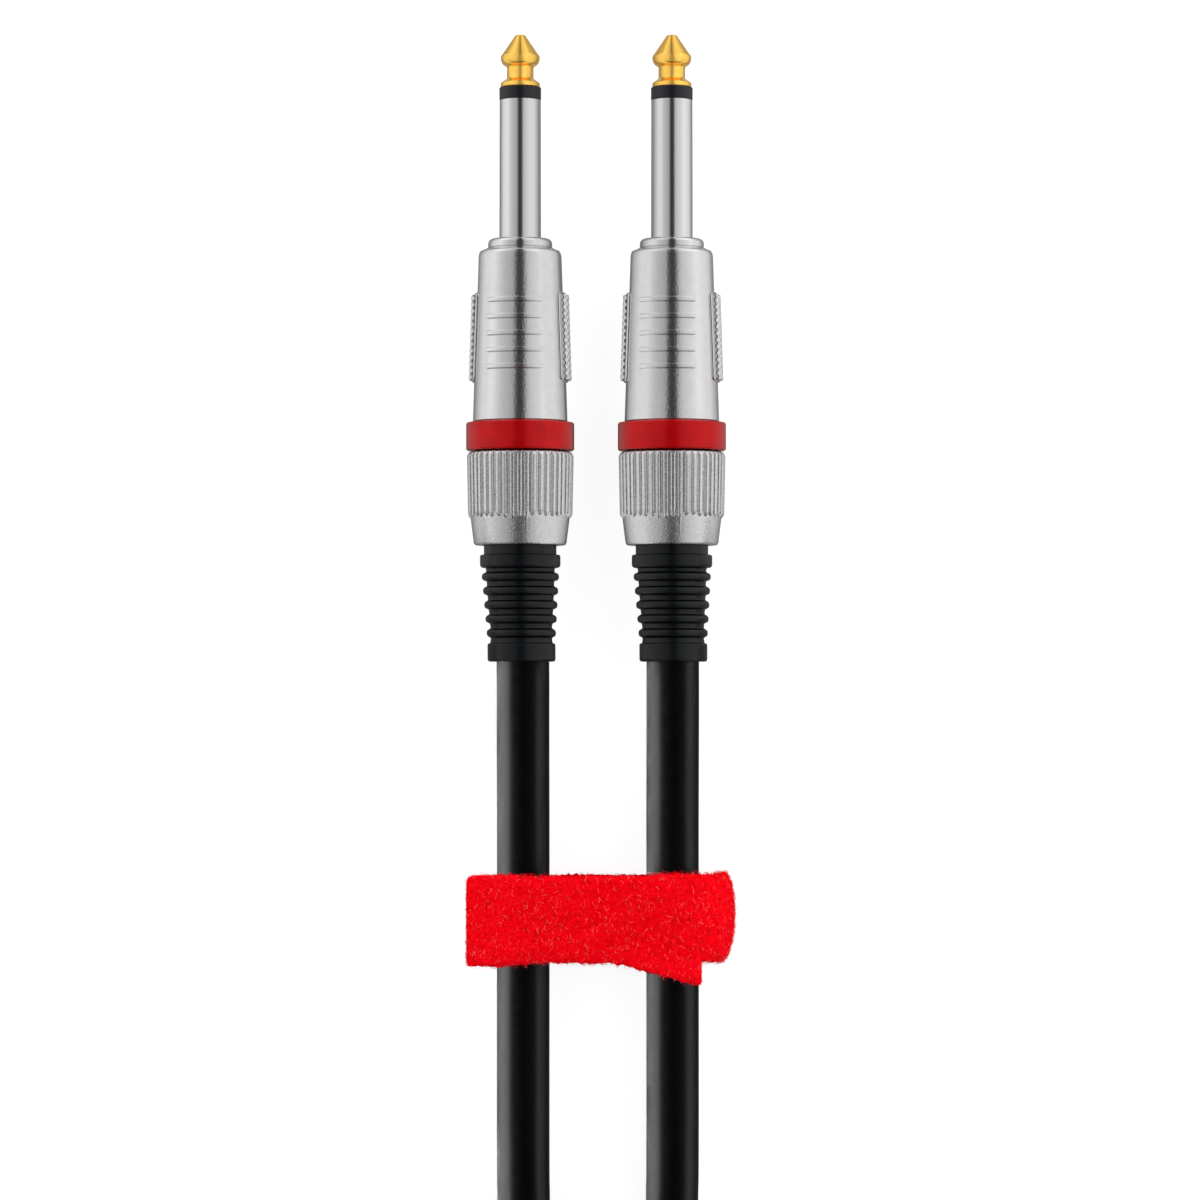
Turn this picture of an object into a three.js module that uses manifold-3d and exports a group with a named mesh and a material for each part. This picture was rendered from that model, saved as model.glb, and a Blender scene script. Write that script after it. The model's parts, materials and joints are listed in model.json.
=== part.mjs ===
// Instrument cable: one cord with a straight 6.35 mm phone plug on each end, a hook-and-loop
// strap round the cord behind the plugs, and the spare length tied up in a hank.
//
// Millimetres, +Z up. The cable lies on the plane z = 0 with both plugs pointing along +Y.
// The origin is on the strap's underside, midway between the plugs.
// Inside a plug, y = 0 is the collar's seating face: the contacts reach forward from it
// along +Y, and the shell, nut, boot and cord follow it along -Y.

import * as THREE from 'three';
import { mergeVertices } from 'three/addons/utils/BufferGeometryUtils.js';
import Module from 'manifold-3d';

const wasm = await Module();
wasm.setup();

// ---------------------------------------------------------------- driving dimensions

// Fits
const clearance = 0.3; // round fits and loose neighbours
const runningGap = 0.15; // along the axis, on each side of a piece that turns

// Facets round an axis
const fineFacets = 24;
const coarseFacets = 18;

// Steps along the swept pieces, and how far a cut runs out past what it cuts
const leadSteps = 18;
const wireSteps = 5;
const overrun = 1.0;

// Cord
const cordRadius = 4.0;
const cordFloorGap = 0.1; // under the cord where it lies on the floor, so that no facet dips below it

// Layout
const plugPitch = 23.0; // between the two plugs' axes
const seatToStrap = 103.4; // from the collars' seating faces back to the strap's middle

// Contacts
const plugRadius = 3.175;
const plugReach = 31.0;
const tipLength = 8.0;
const tipBaseRadius = 3.05;
const tipNeckRadius = 2.03;
const tipBallRadius = 3.0;
const tipFlatRadius = 0.8;
const tipBaseLand = 0.6; // straight at its base
const tipNeckAhead = 2.3; // neck's middle ahead of the tip's base
const tipNeckLand = 0.5; // straight at its neck
const tipNeckEase = 0.35; // how far the curve down to the neck stays out at its end
const tipBallAhead = 4.5; // widest point ahead of the tip's base
const tipBallEase = 1.0; // length of the curve's straighter end below the widest point
const tipBallRounding = 0.7; // from the widest point forward to the cone
const tipBallDrop = 0.2; // radius lost over that rounding
const insulatorLength = 1.8;
const tipRodRadius = 1.2;
const insulatorTubeWall = 0.5;
const collarRadius = 4.95;
const collarThickness = 1.4;
const collarRounding = 0.7;
const bossWall = 0.6;
const swageLip = 0.55; // how far the swaged lip stands out from the boss
const swageThickness = 0.7;
const tagThickness = 0.6; // sheet that both solder tags are stamped from
const rearWasherThickness = 1.2;
const rearWasherRadius = 3.2;
const tipTagRadius = 2.6;
const tipTagHeight = 2.1; // its tongue above the plug's axis
const tipTagLength = 8.0;
const rivetRadius = 1.9;
const rivetThickness = 0.7;
const groundTagRadius = 4.3;
const groundTagDepth = 3.65; // its tongue below the plug's axis
const groundTagLength = 20.0;
const tongueWidth = 2.2;
const tongueThickness = 0.45;

// Shell
const shellLength = 26.3;
const shellFrontRadius = 6.33;
const shellBackRadius = 7.17;
const shellCornerRadius = 1.1;
const shellFrontWall = 2.0;
const shellBore = 5.2;
const shellRoll = 6.3; // degrees that the shell is turned on its axis
const linerWall = 0.35;
const linerFrontGap = 0.6;

// Ridges over and under the shell
const ridgeCount = 5;
const ridgeFirst = 8.2; // first ridge behind the shell's front
const ridgePitch = 2.52;
const ridgeHeight = 0.28;
const ridgeWidth = 0.7;
const ridgeHalfAngle = 39;

// Grip pads on the shell's sides
const padStart = 6.8; // behind the shell's front
const padLength = 13.6;
const padWidth = 6.2;
const padCornerRadius = 1.2;
const padHeight = 0.75;

// Chuck, colour ring and back nut
const chuckWall = 1.2;
const chuckLength = 10.8;
const chuckChamfer = 0.5;
const chuckSlots = 4;
const chuckSlotWidth = 0.9;
const chuckRing = 2.4; // unslotted length at its back
const spigotWall = 0.8;
const spigotLength = 11.3;
const ringWall = 1.3;
const ringLength = 4.6;
const ringRounding = 0.5;
const nutLength = 14.2;
const knurlLength = 10.0;
const knurlFlutes = 44;
const knurlFrontWall = 1.23;
const knurlBackWall = 1.0;
const knurlDepth = 0.38;
const knurlChamfer = 0.6;
const knurlFade = 0.7;
const skirtDrop = 0.4; // skirt's front below the knurl's crests
const skirtTaper = 0.5;
const skirtRounding = 0.4;
const skirtStep = 0.05; // from the flutes' inner ends down to the skirt

// Boot
const bootWall = 1.2;
const bootFlangeThickness = 1.2;
const bootLength = 17.6; // outside the nut
const bootNeckLength = 1.4;
const bootCollarLength = 2.0;
const bootCollarHeight = 0.6;
const bootRibs = 5;
const bootRibFirst = 4.75; // first rib's middle behind the nut
const bootRibPitch = 2.13;
const bootRibWidth = 1.1;
const bootRibFrontWall = 1.55;
const bootRibBackWall = 0.9;
const bootRibDepth = 0.6;
const bootBandLength = 2.8;
const bootBandWall = 0.85;
const bootEdge = 0.3; // bevel on its collar and end band

// Jacket, core and shield inside the plug
const jacketInsideBoot = 29.5; // from the boot's end forward to the jacket's end
const coreRadius = 0.9;
const coreLap = 3.0; // core under the tip tag's tongue
const shieldRadius = 0.55;
const shieldLap = 4.0; // shield over the ground tag's tongue
const shieldOffset = 2.2; // below the axis where it leaves the jacket
const wireBendStart = 0.35; // shares of a wire's run, where it leaves its first line
const wireBendEnd = 0.75; // and where it meets the tag's

// Strap
const strapWidth = 13.6;
const strapThickness = 1.5;
const strapLeftReach = 8.1; // cut end beyond the left cord's axis
const strapFoldReach = 2.8; // right fold's centre beyond the right cord's axis
const strapTailReach = 4.2; // tail's end beyond the right cord's axis
const strapTailDrop = 3.3; // how far the sloping tail hangs out below the strap
const strapTailLap = 3.5; // where the tail leaves the left fold, beyond the cord's axis
const strapTailBend = 7.5; // where the tail starts to slope, beyond the cord's axis
const strapTailJoin = 1.5; // how far the sloping tail reaches into the layer that carries it
const strapCornerRadius = 0.8;

// Hank
const hankLane = 24.0; // bend radius of its inner turns
const hankRun = 58.5; // straight length of its turns
const hankLevels = 5;
const hankBehindStrap = 48.5; // its near end behind the strap's middle
const tieWidth = 20.0;
const tieThickness = 1.5;
const tieLiftRun = 12.0; // length over which the hank rises to pass over its tie
const tieCornerRadius = 4.0;

// ---------------------------------------------------------------- places that follow

const plugAxisX = plugPitch / 2;

// Radii from the cord outward
const chuckBore = cordRadius + clearance;
const chuckRadius = chuckBore + chuckWall;
const spigotBore = chuckRadius + clearance;
const spigotRadius = spigotBore + spigotWall;
const ringBore = spigotRadius + clearance;
const ringRadius = ringBore + ringWall;
const bootBore = cordRadius + clearance;
const bootNeckRadius = bootBore + bootWall;
const nutOpening = bootNeckRadius + clearance;
const plugHeight = ringRadius; // the ring is the widest piece, so the plug lies on it

// Radii from the tip's rod outward
const insulatorBore = tipRodRadius + clearance;
const sleeveBore = insulatorBore + insulatorTubeWall + clearance;
const bossRadius = sleeveBore + bossWall;
const bossHole = bossRadius + clearance;
const swageRadius = bossRadius + swageLip;
const linerRadius = shellBore - clearance;
const linerBore = linerRadius - linerWall;

// Stations along the plug
const tipBack = plugReach - tipLength;
const insulatorBack = tipBack - insulatorLength;
const shellFront = -collarThickness;
const shellBack = shellFront - shellLength;
const frontWallBack = shellFront - shellFrontWall;
const groundTagBack = frontWallBack - tagThickness;
const swageBack = groundTagBack - swageThickness;
const rearWasherBack = swageBack - rearWasherThickness;
const tipTagBack = rearWasherBack - tagThickness;
const rivetBack = tipTagBack - rivetThickness;
const spigotBack = shellBack - spigotLength;
const chuckFront = spigotBack - clearance + chuckLength;
const chuckBack = chuckFront - chuckLength;
const ringBack = shellBack - ringLength;
const nutBack = ringBack - nutLength;
const bootFlangeFront = chuckBack - clearance;
const bootFlangeBack = bootFlangeFront - bootFlangeThickness;
const nutShoulder = bootFlangeBack - clearance;
const bootEnd = nutBack - bootLength;
const jacketFront = bootEnd + jacketInsideBoot;
const linerFront = groundTagBack - linerFrontGap;

// Heights of the cord's centre
const strapLevel = strapThickness + clearance + cordRadius;
const floorLevel = cordRadius + cordFloorGap;

// ---------------------------------------------------------------- solids

const degrees = Math.PI / 180;

/** A closed solid for joining and cutting, from a closed geometry. */
function solid(geometry) {
  geometry.deleteAttribute('normal');
  geometry.deleteAttribute('uv');
  const merged = mergeVertices(geometry, 1e-4);
  const mesh = new wasm.Mesh({
    numProp: 3,
    vertProperties: merged.attributes.position.array,
    triVerts: new Uint32Array(merged.index.array),
  });
  return new wasm.Manifold(mesh);
}

/** The geometry of a solid. */
function surface(body) {
  const mesh = body.getMesh();
  const geometry = new THREE.BufferGeometry();
  geometry.setAttribute('position', new THREE.BufferAttribute(mesh.vertProperties, 3));
  geometry.setIndex(new THREE.BufferAttribute(mesh.triVerts, 1));
  return geometry;
}

/** Twice the signed area of an outline: positive when it runs anticlockwise. */
function turnOf(points) {
  return points.reduce((sum, p, i) => sum + p.cross(points[(i + 1) % points.length]), 0);
}

/** A body of revolution about Y. The outline's x is the radius and may touch the axis. */
function turned(outline, facets = fineFacets) {
  const corners = Array.isArray(outline);
  const points = corners ? outline.map(([r, y]) => new THREE.Vector2(r, y)) : outline.getPoints(2);
  if (turnOf(points) < 0) points.reverse();
  const first = points.findIndex((p, i) => p.x === 0 && points[(i + 1) % points.length].x > 0);
  const start = Math.max(first, 0);
  const profile = [...points.slice(start), ...points.slice(0, start)];
  if (first < 0) profile.push(points[0].clone());
  return solid(new THREE.LatheGeometry(profile, facets));
}

/** A prism of a flat shape: the shape's x and y and the extrusion's depth go where basis sends them. */
function prism(shape, depth, basis, start = 0, curveSegments = 6) {
  const geometry = new THREE.ExtrudeGeometry(shape, { depth, bevelEnabled: false, curveSegments });
  geometry.translate(0, 0, start);
  geometry.applyMatrix4(basis);
  return solid(geometry);
}

const X = new THREE.Vector3(1, 0, 0);
const Y = new THREE.Vector3(0, 1, 0);
const Z = new THREE.Vector3(0, 0, 1);
const planUp = new THREE.Matrix4(); // drawn in XY, extruded along Z
const acrossUp = new THREE.Matrix4().makeBasis(X, Z, Y.clone().negate()); // drawn in XZ, along -Y
const alongSide = new THREE.Matrix4().makeBasis(Y, Z, X); // drawn in YZ, along X
const sideUp = new THREE.Matrix4().makeBasis(Z, Y, X.clone().negate()); // drawn in ZY, along -X

/** A box between two corners. */
function box(low, high) {
  const size = high.map((value, i) => value - low[i]);
  const geometry = new THREE.BoxGeometry(...size);
  geometry.translate(...low.map((value, i) => value + size[i] / 2));
  return solid(geometry);
}

/** A rectangle with round corners, about its centre. */
function roundedRectangle(width, height, radius) {
  const shape = new THREE.Shape();
  const [x, y] = [width / 2 - radius, height / 2 - radius];
  shape.absarc(x, y, radius, 0, Math.PI / 2);
  shape.absarc(-x, y, radius, Math.PI / 2, Math.PI);
  shape.absarc(-x, -y, radius, Math.PI, 1.5 * Math.PI);
  shape.absarc(x, -y, radius, 1.5 * Math.PI, 2 * Math.PI);
  return shape;
}

/** A round tube along a curve. */
function tube(points, radius, steps, sides = 8) {
  const section = new THREE.Shape();
  for (let i = 0; i < sides; i += 1) {
    const angle = (i * 2 * Math.PI) / sides;
    const corner = [radius * Math.cos(angle), radius * Math.sin(angle)];
    if (i) section.lineTo(...corner);
    else section.moveTo(...corner);
  }
  const path = new THREE.CatmullRomCurve3(points.map((p) => new THREE.Vector3(...p)));
  return solid(new THREE.ExtrudeGeometry(section, { steps, extrudePath: path }));
}

/** A body skinned over rings of equally many points, closed by a flat end at each side. */
function skinned(rings) {
  const count = rings[0].length;
  const positions = rings.flat().flatMap((p) => [p.x, p.y, p.z]);
  const index = [];
  for (let k = 0; k + 1 < rings.length; k += 1) {
    for (let i = 0; i < count; i += 1) {
      const [a, b] = [k * count + i, k * count + ((i + 1) % count)];
      index.push(a, b, a + count, b, b + count, a + count);
    }
  }
  const last = (rings.length - 1) * count;
  positions.push(0, rings[0][0].y, 0, 0, rings.at(-1)[0].y, 0);
  for (let i = 0; i < count; i += 1) {
    const next = (i + 1) % count;
    index.push(rings.length * count, next, i);
    index.push(rings.length * count + 1, last + i, last + next);
  }
  const geometry = new THREE.BufferGeometry();
  geometry.setAttribute('position', new THREE.Float32BufferAttribute(positions, 3));
  geometry.setIndex(index);
  return solid(geometry);
}

// ---------------------------------------------------------------- contacts

/** Tip, with its waist and ball, on the rod that runs through the plug and is riveted behind it. */
function tipContact() {
  const outline = new THREE.Path();
  outline.moveTo(0, rivetBack);
  outline.lineTo(rivetRadius, rivetBack);
  outline.lineTo(rivetRadius, tipTagBack);
  outline.lineTo(tipRodRadius, tipTagBack);
  outline.lineTo(tipRodRadius, tipBack);
  outline.lineTo(tipBaseRadius, tipBack);
  const neck = tipBack + tipNeckAhead;
  const ball = tipBack + tipBallAhead;
  const cone = ball + tipBallRounding;
  const halfLand = tipNeckLand / 2;
  outline.lineTo(tipBaseRadius, tipBack + tipBaseLand);
  outline.quadraticCurveTo(tipNeckRadius + tipNeckEase, neck - tipNeckLand, tipNeckRadius, neck - halfLand);
  outline.lineTo(tipNeckRadius, neck + halfLand);
  outline.quadraticCurveTo(tipBallRadius, ball - tipBallEase, tipBallRadius, ball);
  outline.quadraticCurveTo(tipBallRadius, (ball + cone) / 2, tipBallRadius - tipBallDrop, cone);
  outline.lineTo(tipFlatRadius, plugReach);
  outline.lineTo(0, plugReach);
  return turned(outline, coarseFacets);
}

/** Insulating ring between tip and sleeve, with the thin tube that lines the sleeve. */
function tipInsulator() {
  const tubeRadius = insulatorBore + insulatorTubeWall;
  return turned([
    [insulatorBore, swageBack],
    [tubeRadius, swageBack],
    [tubeRadius, insulatorBack],
    [plugRadius, insulatorBack],
    [plugRadius, tipBack],
    [insulatorBore, tipBack],
  ], coarseFacets);
}

/** Sleeve and seating collar, with the boss that goes through the shell and is swaged behind it. */
function sleeveContact() {
  const outline = new THREE.Path();
  outline.moveTo(sleeveBore, swageBack);
  outline.lineTo(swageRadius, swageBack);
  outline.lineTo(swageRadius, groundTagBack);
  outline.lineTo(bossRadius, groundTagBack);
  outline.lineTo(bossRadius, shellFront);
  outline.lineTo(collarRadius, shellFront);
  outline.lineTo(collarRadius, -collarRounding);
  outline.quadraticCurveTo(collarRadius, 0, collarRadius - collarRounding, 0);
  outline.lineTo(plugRadius, 0);
  outline.lineTo(plugRadius, insulatorBack);
  outline.lineTo(sleeveBore, insulatorBack);
  return turned(outline, coarseFacets);
}

/** Insulating washer behind the swaged sleeve. */
function rearInsulator() {
  return turned([
    [insulatorBore, rearWasherBack],
    [rearWasherRadius, rearWasherBack],
    [rearWasherRadius, swageBack],
    [insulatorBore, swageBack],
  ], coarseFacets);
}

/** A stamped tag: an eyelet between two stations, with a tongue that runs back for the solder. */
function solderTag(bore, radius, front, back, tongueBottom, length) {
  const eyelet = turned([[bore, back], [radius, back], [radius, front], [bore, front]], coarseFacets);
  const half = tongueWidth / 2;
  const tongue = box([-half, back - length, tongueBottom], [half, front, tongueBottom + tongueThickness]);
  return eyelet.add(tongue);
}

// ---------------------------------------------------------------- shell

/** The shell's outer radius at a station, before its front corner. */
function shellRadiusAt(y) {
  const along = (shellFront - y) / shellLength;
  return THREE.MathUtils.lerp(shellFrontRadius, shellBackRadius, along);
}

/** A hoop with a pointed top, round the shell's wall at one station. */
function ridgeHoop(middle) {
  const wall = shellRadiusAt(middle);
  return turned([
    [wall - ridgeHeight, middle - ridgeWidth],
    [wall + ridgeHeight, middle],
    [wall - ridgeHeight, middle + ridgeWidth],
  ]);
}

/** A plate of even height that follows the shell's taper between two stations. */
function padHoop(front, back) {
  return turned([
    [shellRadiusAt(back) - padHeight, back],
    [shellRadiusAt(back) + padHeight, back],
    [shellRadiusAt(front) + padHeight, front],
    [shellRadiusAt(front) - padHeight, front],
  ]);
}

/** Tapered shell with a spigot behind it, ridges over and under, and a grip pad on each side. */
function shell() {
  const outline = new THREE.Path();
  const frontEdge = shellFrontRadius - shellCornerRadius;
  outline.moveTo(bossHole, shellFront);
  outline.lineTo(bossHole, frontWallBack);
  outline.lineTo(shellBore, frontWallBack);
  outline.lineTo(shellBore, chuckFront + clearance + chuckChamfer);
  outline.lineTo(spigotBore, chuckFront + clearance - chuckChamfer);
  outline.lineTo(spigotBore, spigotBack);
  outline.lineTo(spigotRadius, spigotBack);
  outline.lineTo(spigotRadius, shellBack);
  outline.lineTo(shellBackRadius, shellBack);
  outline.lineTo(shellRadiusAt(shellFront - shellCornerRadius), shellFront - shellCornerRadius);
  outline.quadraticCurveTo(shellFrontRadius, shellFront, frontEdge, shellFront);
  let body = turned(outline);

  const reach = 2 * shellBackRadius;
  const [sine, cosine] = [Math.sin(ridgeHalfAngle * degrees), Math.cos(ridgeHalfAngle * degrees)];
  const sector = new THREE.Shape([
    new THREE.Vector2(0, 0),
    new THREE.Vector2(reach * sine, reach * cosine),
    new THREE.Vector2(-reach * sine, reach * cosine),
  ]);
  for (const turn of [0, Math.PI]) {
    const basis = new THREE.Matrix4().makeRotationY(turn).multiply(acrossUp);
    const reachOfRidges = prism(sector, shellLength, basis, -shellFront);
    for (let k = 0; k < ridgeCount; k += 1) {
      const hoop = ridgeHoop(shellFront - ridgeFirst - k * ridgePitch);
      body = body.add(hoop.intersect(reachOfRidges));
    }
  }

  const padFront = shellFront - padStart;
  const padMiddle = new THREE.Matrix4().makeTranslation(0, padFront - padLength / 2, 0).multiply(sideUp);
  const padOutline = roundedRectangle(padWidth, padLength, padCornerRadius);
  const plate = padHoop(padFront, padFront - padLength);
  return body.add(plate.intersect(prism(padOutline, 2 * reach, padMiddle, -reach, 2)));
}

/** Thin tube that keeps the solder tags off the shell. */
function shellLiner() {
  const back = chuckFront + clearance + 2 * chuckChamfer;
  return turned([
    [linerBore, back],
    [linerRadius, back],
    [linerRadius, linerFront],
    [linerBore, linerFront],
  ], coarseFacets);
}

// ---------------------------------------------------------------- clamp, ring, nut and boot

/** Slotted collet that the nut squeezes onto the cord. */
function chuck() {
  let body = turned([
    [chuckBore, chuckBack],
    [chuckRadius, chuckBack],
    [chuckRadius, chuckFront - 2 * chuckChamfer],
    [chuckRadius - chuckChamfer, chuckFront],
    [chuckBore, chuckFront],
  ], coarseFacets);
  const half = chuckSlotWidth / 2;
  for (let k = 0; k < chuckSlots; k += 1) {
    const cut = new THREE.BoxGeometry(chuckSlotWidth, chuckLength, 2 * chuckRadius);
    cut.translate(0, chuckBack + chuckRing + chuckLength / 2, chuckRadius + half);
    cut.rotateY(((k + 0.5) * 2 * Math.PI) / chuckSlots);
    body = body.subtract(solid(cut));
  }
  return body;
}

/** Coloured ring that turns on the shell's spigot. */
function colourRing() {
  const front = shellBack - runningGap;
  const back = ringBack + runningGap;
  const outline = new THREE.Path();
  outline.moveTo(ringBore, back);
  outline.lineTo(ringRadius - ringRounding, back);
  outline.quadraticCurveTo(ringRadius, back, ringRadius, back + ringRounding);
  outline.lineTo(ringRadius, front - ringRounding);
  outline.quadraticCurveTo(ringRadius, front, ringRadius - ringRounding, front);
  outline.lineTo(ringBore, front);
  return turned(outline);
}

/** A ring of flute crests and grooves, by turns, at one station. */
function fluteRing(y, crest, groove) {
  return Array.from({ length: 2 * knurlFlutes }, (_, k) => {
    const radius = k % 2 ? groove : crest;
    const angle = (k * Math.PI) / knurlFlutes;
    return new THREE.Vector3(radius * Math.sin(angle), y, radius * Math.cos(angle));
  });
}

/** Back nut: fluted grip in front, smooth skirt behind, threaded over the spigot. */
function backNut() {
  const frontCrest = ringBore + knurlFrontWall;
  const backCrest = ringBore + knurlBackWall;
  const skirtRadius = backCrest - skirtDrop;
  const knurlBack = ringBack - knurlLength;
  const grip = skinned([
    fluteRing(knurlBack, skirtRadius, skirtRadius),
    fluteRing(knurlBack + knurlFade, backCrest, backCrest - knurlDepth),
    fluteRing(ringBack - knurlChamfer, frontCrest, frontCrest - knurlDepth),
    fluteRing(ringBack, frontCrest - knurlChamfer, frontCrest - knurlChamfer),
  ]);
  const endRadius = skirtRadius - skirtTaper;
  const outline = new THREE.Path();
  outline.moveTo(0, nutBack);
  outline.lineTo(endRadius - skirtRounding, nutBack);
  outline.quadraticCurveTo(endRadius, nutBack, endRadius, nutBack + skirtRounding);
  outline.lineTo(skirtRadius - skirtStep, knurlBack);
  outline.lineTo(skirtRadius - skirtStep, knurlBack + knurlFade / 2);
  outline.lineTo(0, knurlBack + knurlFade / 2);
  const bore = turned([
    [0, nutBack - overrun],
    [nutOpening, nutBack - overrun],
    [nutOpening, nutShoulder],
    [ringBore, nutShoulder],
    [ringBore, ringBack + overrun],
    [0, ringBack + overrun],
  ]);
  return grip.add(turned(outline)).subtract(bore);
}

/** Ribbed boot, held in the nut by its flange. */
function boot() {
  const collarFront = nutBack - bootNeckLength;
  const collarBack = collarFront - bootCollarLength;
  const collarTop = bootNeckRadius + bootCollarHeight;
  const points = [
    [bootBore, bootFlangeFront],
    [ringBore - clearance, bootFlangeFront],
    [ringBore - clearance, bootFlangeBack],
    [bootNeckRadius, bootFlangeBack],
    [bootNeckRadius, collarFront],
    [collarTop, collarFront - bootEdge],
    [collarTop, collarBack + bootEdge],
    [bootBore + bootRibFrontWall - bootRibDepth, collarBack],
  ];
  for (let k = 0; k < bootRibs; k += 1) {
    const middle = nutBack - bootRibFirst - k * bootRibPitch;
    const wall = THREE.MathUtils.lerp(bootRibFrontWall, bootRibBackWall, k / (bootRibs - 1));
    const groove = bootBore + wall - bootRibDepth;
    points.push([groove, middle + bootRibWidth / 2]);
    points.push([bootBore + wall, middle + bootRibWidth / 4]);
    points.push([bootBore + wall, middle - bootRibWidth / 4]);
    points.push([groove, middle - bootRibWidth / 2]);
  }
  const band = bootEnd + bootBandLength;
  points.push([bootBore + bootRibBackWall - bootRibDepth, band]);
  points.push([bootBore + bootBandWall, band - bootEdge]);
  points.push([bootBore + bootBandWall, bootEnd + bootEdge]);
  points.push([bootBore + bootBandWall - bootEdge, bootEnd]);
  points.push([bootBore, bootEnd]);
  return turned(points, coarseFacets);
}

/** A wire that leaves the jacket's end at one height and ends along a tag's tongue at another. */
function wireInPlug(radius, startHeight, end, endHeight) {
  const start = jacketFront + clearance;
  const bend = (share) => THREE.MathUtils.lerp(start, end, share);
  return tube([
    [0, start, startHeight],
    [0, bend(wireBendStart), startHeight],
    [0, bend(wireBendEnd), endHeight],
    [0, end, endHeight],
  ], radius, wireSteps);
}

/** The cord's core, from the jacket's end to the tip's tag. */
function coreWire() {
  const end = tipTagBack - tipTagLength + coreLap;
  return wireInPlug(coreRadius, 0, end, tipTagHeight - clearance - coreRadius);
}

/** The cord's twisted shield, from the jacket's end to the ground tag. */
function shieldTail() {
  const end = groundTagBack - groundTagLength + shieldLap;
  return wireInPlug(shieldRadius, -shieldOffset, end, -(groundTagDepth - clearance - shieldRadius));
}

// ---------------------------------------------------------------- cord and hank

/** A lead's centre line from the chuck to the hank: distance along the cable, and height. */
const leadRoute = [
  [seatToStrap + jacketFront, plugHeight],
  [56, plugHeight],
  [45, plugHeight],
  [37, plugHeight],
  [30, plugHeight - 0.2],
  [22, 6.9],
  [15, strapLevel + 0.1],
  [9, strapLevel],
  [0, strapLevel],
  [-12, strapLevel],
  [-24, strapLevel],
  [-31, strapLevel - 0.15],
  [-38, 4.7],
  [-44, floorLevel],
];

const hankOuterRadius = hankLane + 3 * cordRadius; // two lanes side by side
const hankInnerRadius = hankLane - cordRadius;
const hankNearCentre = -hankBehindStrap - hankOuterRadius;
const hankHeight = 2 * cordRadius * hankLevels;
const hankMiddle = hankNearCentre - hankRun / 2;

/** The lead ends just short of the hank's round end. */
function cordLead() {
  const inside = plugAxisX - cordRadius;
  const face = hankNearCentre + Math.sqrt(hankOuterRadius ** 2 - inside ** 2);
  const points = leadRoute.map(([y, z]) => [0, y, z]);
  points.push([0, face + clearance, floorLevel]);
  return tube(points, cordRadius, leadSteps);
}

/** A slot with round ends along Y, about the hank's middle. */
function slot(radius) {
  const outline = new THREE.Shape();
  outline.absarc(0, hankNearCentre, radius, 0, Math.PI);
  outline.absarc(0, hankNearCentre - hankRun, radius, Math.PI, 2 * Math.PI);
  return outline;
}

/** The outer shape of the tied turns: they rise a little where they pass over the tie. */
function cordHank() {
  const outline = slot(hankOuterRadius);
  outline.holes.push(new THREE.Path(slot(hankInnerRadius).getPoints(6)));
  const lift = tieThickness + clearance;
  const flat = tieWidth / 2 + clearance;
  const foot = flat + tieLiftRun;
  const ends = hankRun / 2 + hankOuterRadius + overrun;
  const profile = new THREE.Shape();
  const underside = [[-ends, 0], [-foot, 0], [-flat, lift], [flat, lift], [foot, 0], [ends, 0]];
  profile.setFromPoints([
    ...underside.map(([y, z]) => new THREE.Vector2(hankMiddle + y, z)),
    ...underside.reverse().map(([y, z]) => new THREE.Vector2(hankMiddle + y, z + hankHeight)),
  ]);
  const width = 2 * (hankOuterRadius + overrun);
  const turns = prism(outline, hankHeight + lift, planUp);
  return turns.intersect(prism(profile, width, alongSide, -width / 2));
}

/** Band round the hank's waist. */
function hankTie() {
  const lift = tieThickness + clearance;
  const inner = [2 * (hankOuterRadius + clearance), hankHeight + 2 * clearance];
  const outline = roundedRectangle(inner[0] + 2 * tieThickness, inner[1] + 2 * tieThickness, tieCornerRadius);
  const hole = roundedRectangle(inner[0], inner[1], clearance);
  outline.holes.push(new THREE.Path(hole.getPoints(1)));
  const place = new THREE.Matrix4().makeTranslation(0, 0, lift + hankHeight / 2).multiply(acrossUp);
  return prism(outline, tieWidth, place, -hankMiddle - tieWidth / 2, 2);
}

// ---------------------------------------------------------------- strap

const strapTailTop = strapLevel + cordRadius + clearance + strapThickness;
const strapFlapTop = strapTailTop + clearance + strapThickness;

/** Ribbon from the tail, round the left cord and under both, to the top of the right fold. */
function strapWrap() {
  const foldX = plugAxisX + strapFoldReach;
  const foldRadius = strapFlapTop / 2;
  const leftRadius = strapTailTop / 2;
  const lapX = strapTailLap - plugAxisX;
  const section = new THREE.Shape();
  section.moveTo(lapX, strapTailTop);
  section.absarc(-plugAxisX, leftRadius, leftRadius, Math.PI / 2, 1.5 * Math.PI);
  section.absarc(foldX, foldRadius, foldRadius, -Math.PI / 2, Math.PI / 2);
  section.absarc(foldX, foldRadius, foldRadius - strapThickness, Math.PI / 2, -Math.PI / 2, true);
  section.absarc(-plugAxisX, leftRadius, leftRadius - strapThickness, 1.5 * Math.PI, Math.PI / 2, true);
  section.lineTo(lapX, strapTailTop - strapThickness);
  const ribbon = prism(section, strapWidth, acrossUp, -strapWidth / 2);

  const half = strapWidth / 2;
  const startX = lapX - strapTailJoin;
  const bendX = strapTailBend - plugAxisX;
  const endX = plugAxisX + strapTailReach;
  const tail = new THREE.Shape([
    new THREE.Vector2(startX, -half),
    new THREE.Vector2(bendX, -half),
    new THREE.Vector2(endX, -half - strapTailDrop),
    new THREE.Vector2(endX, half - strapTailDrop),
    new THREE.Vector2(bendX, half),
    new THREE.Vector2(startX, half),
  ]);
  return ribbon.add(prism(tail, strapThickness, planUp, strapTailTop - strapThickness));
}

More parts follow.
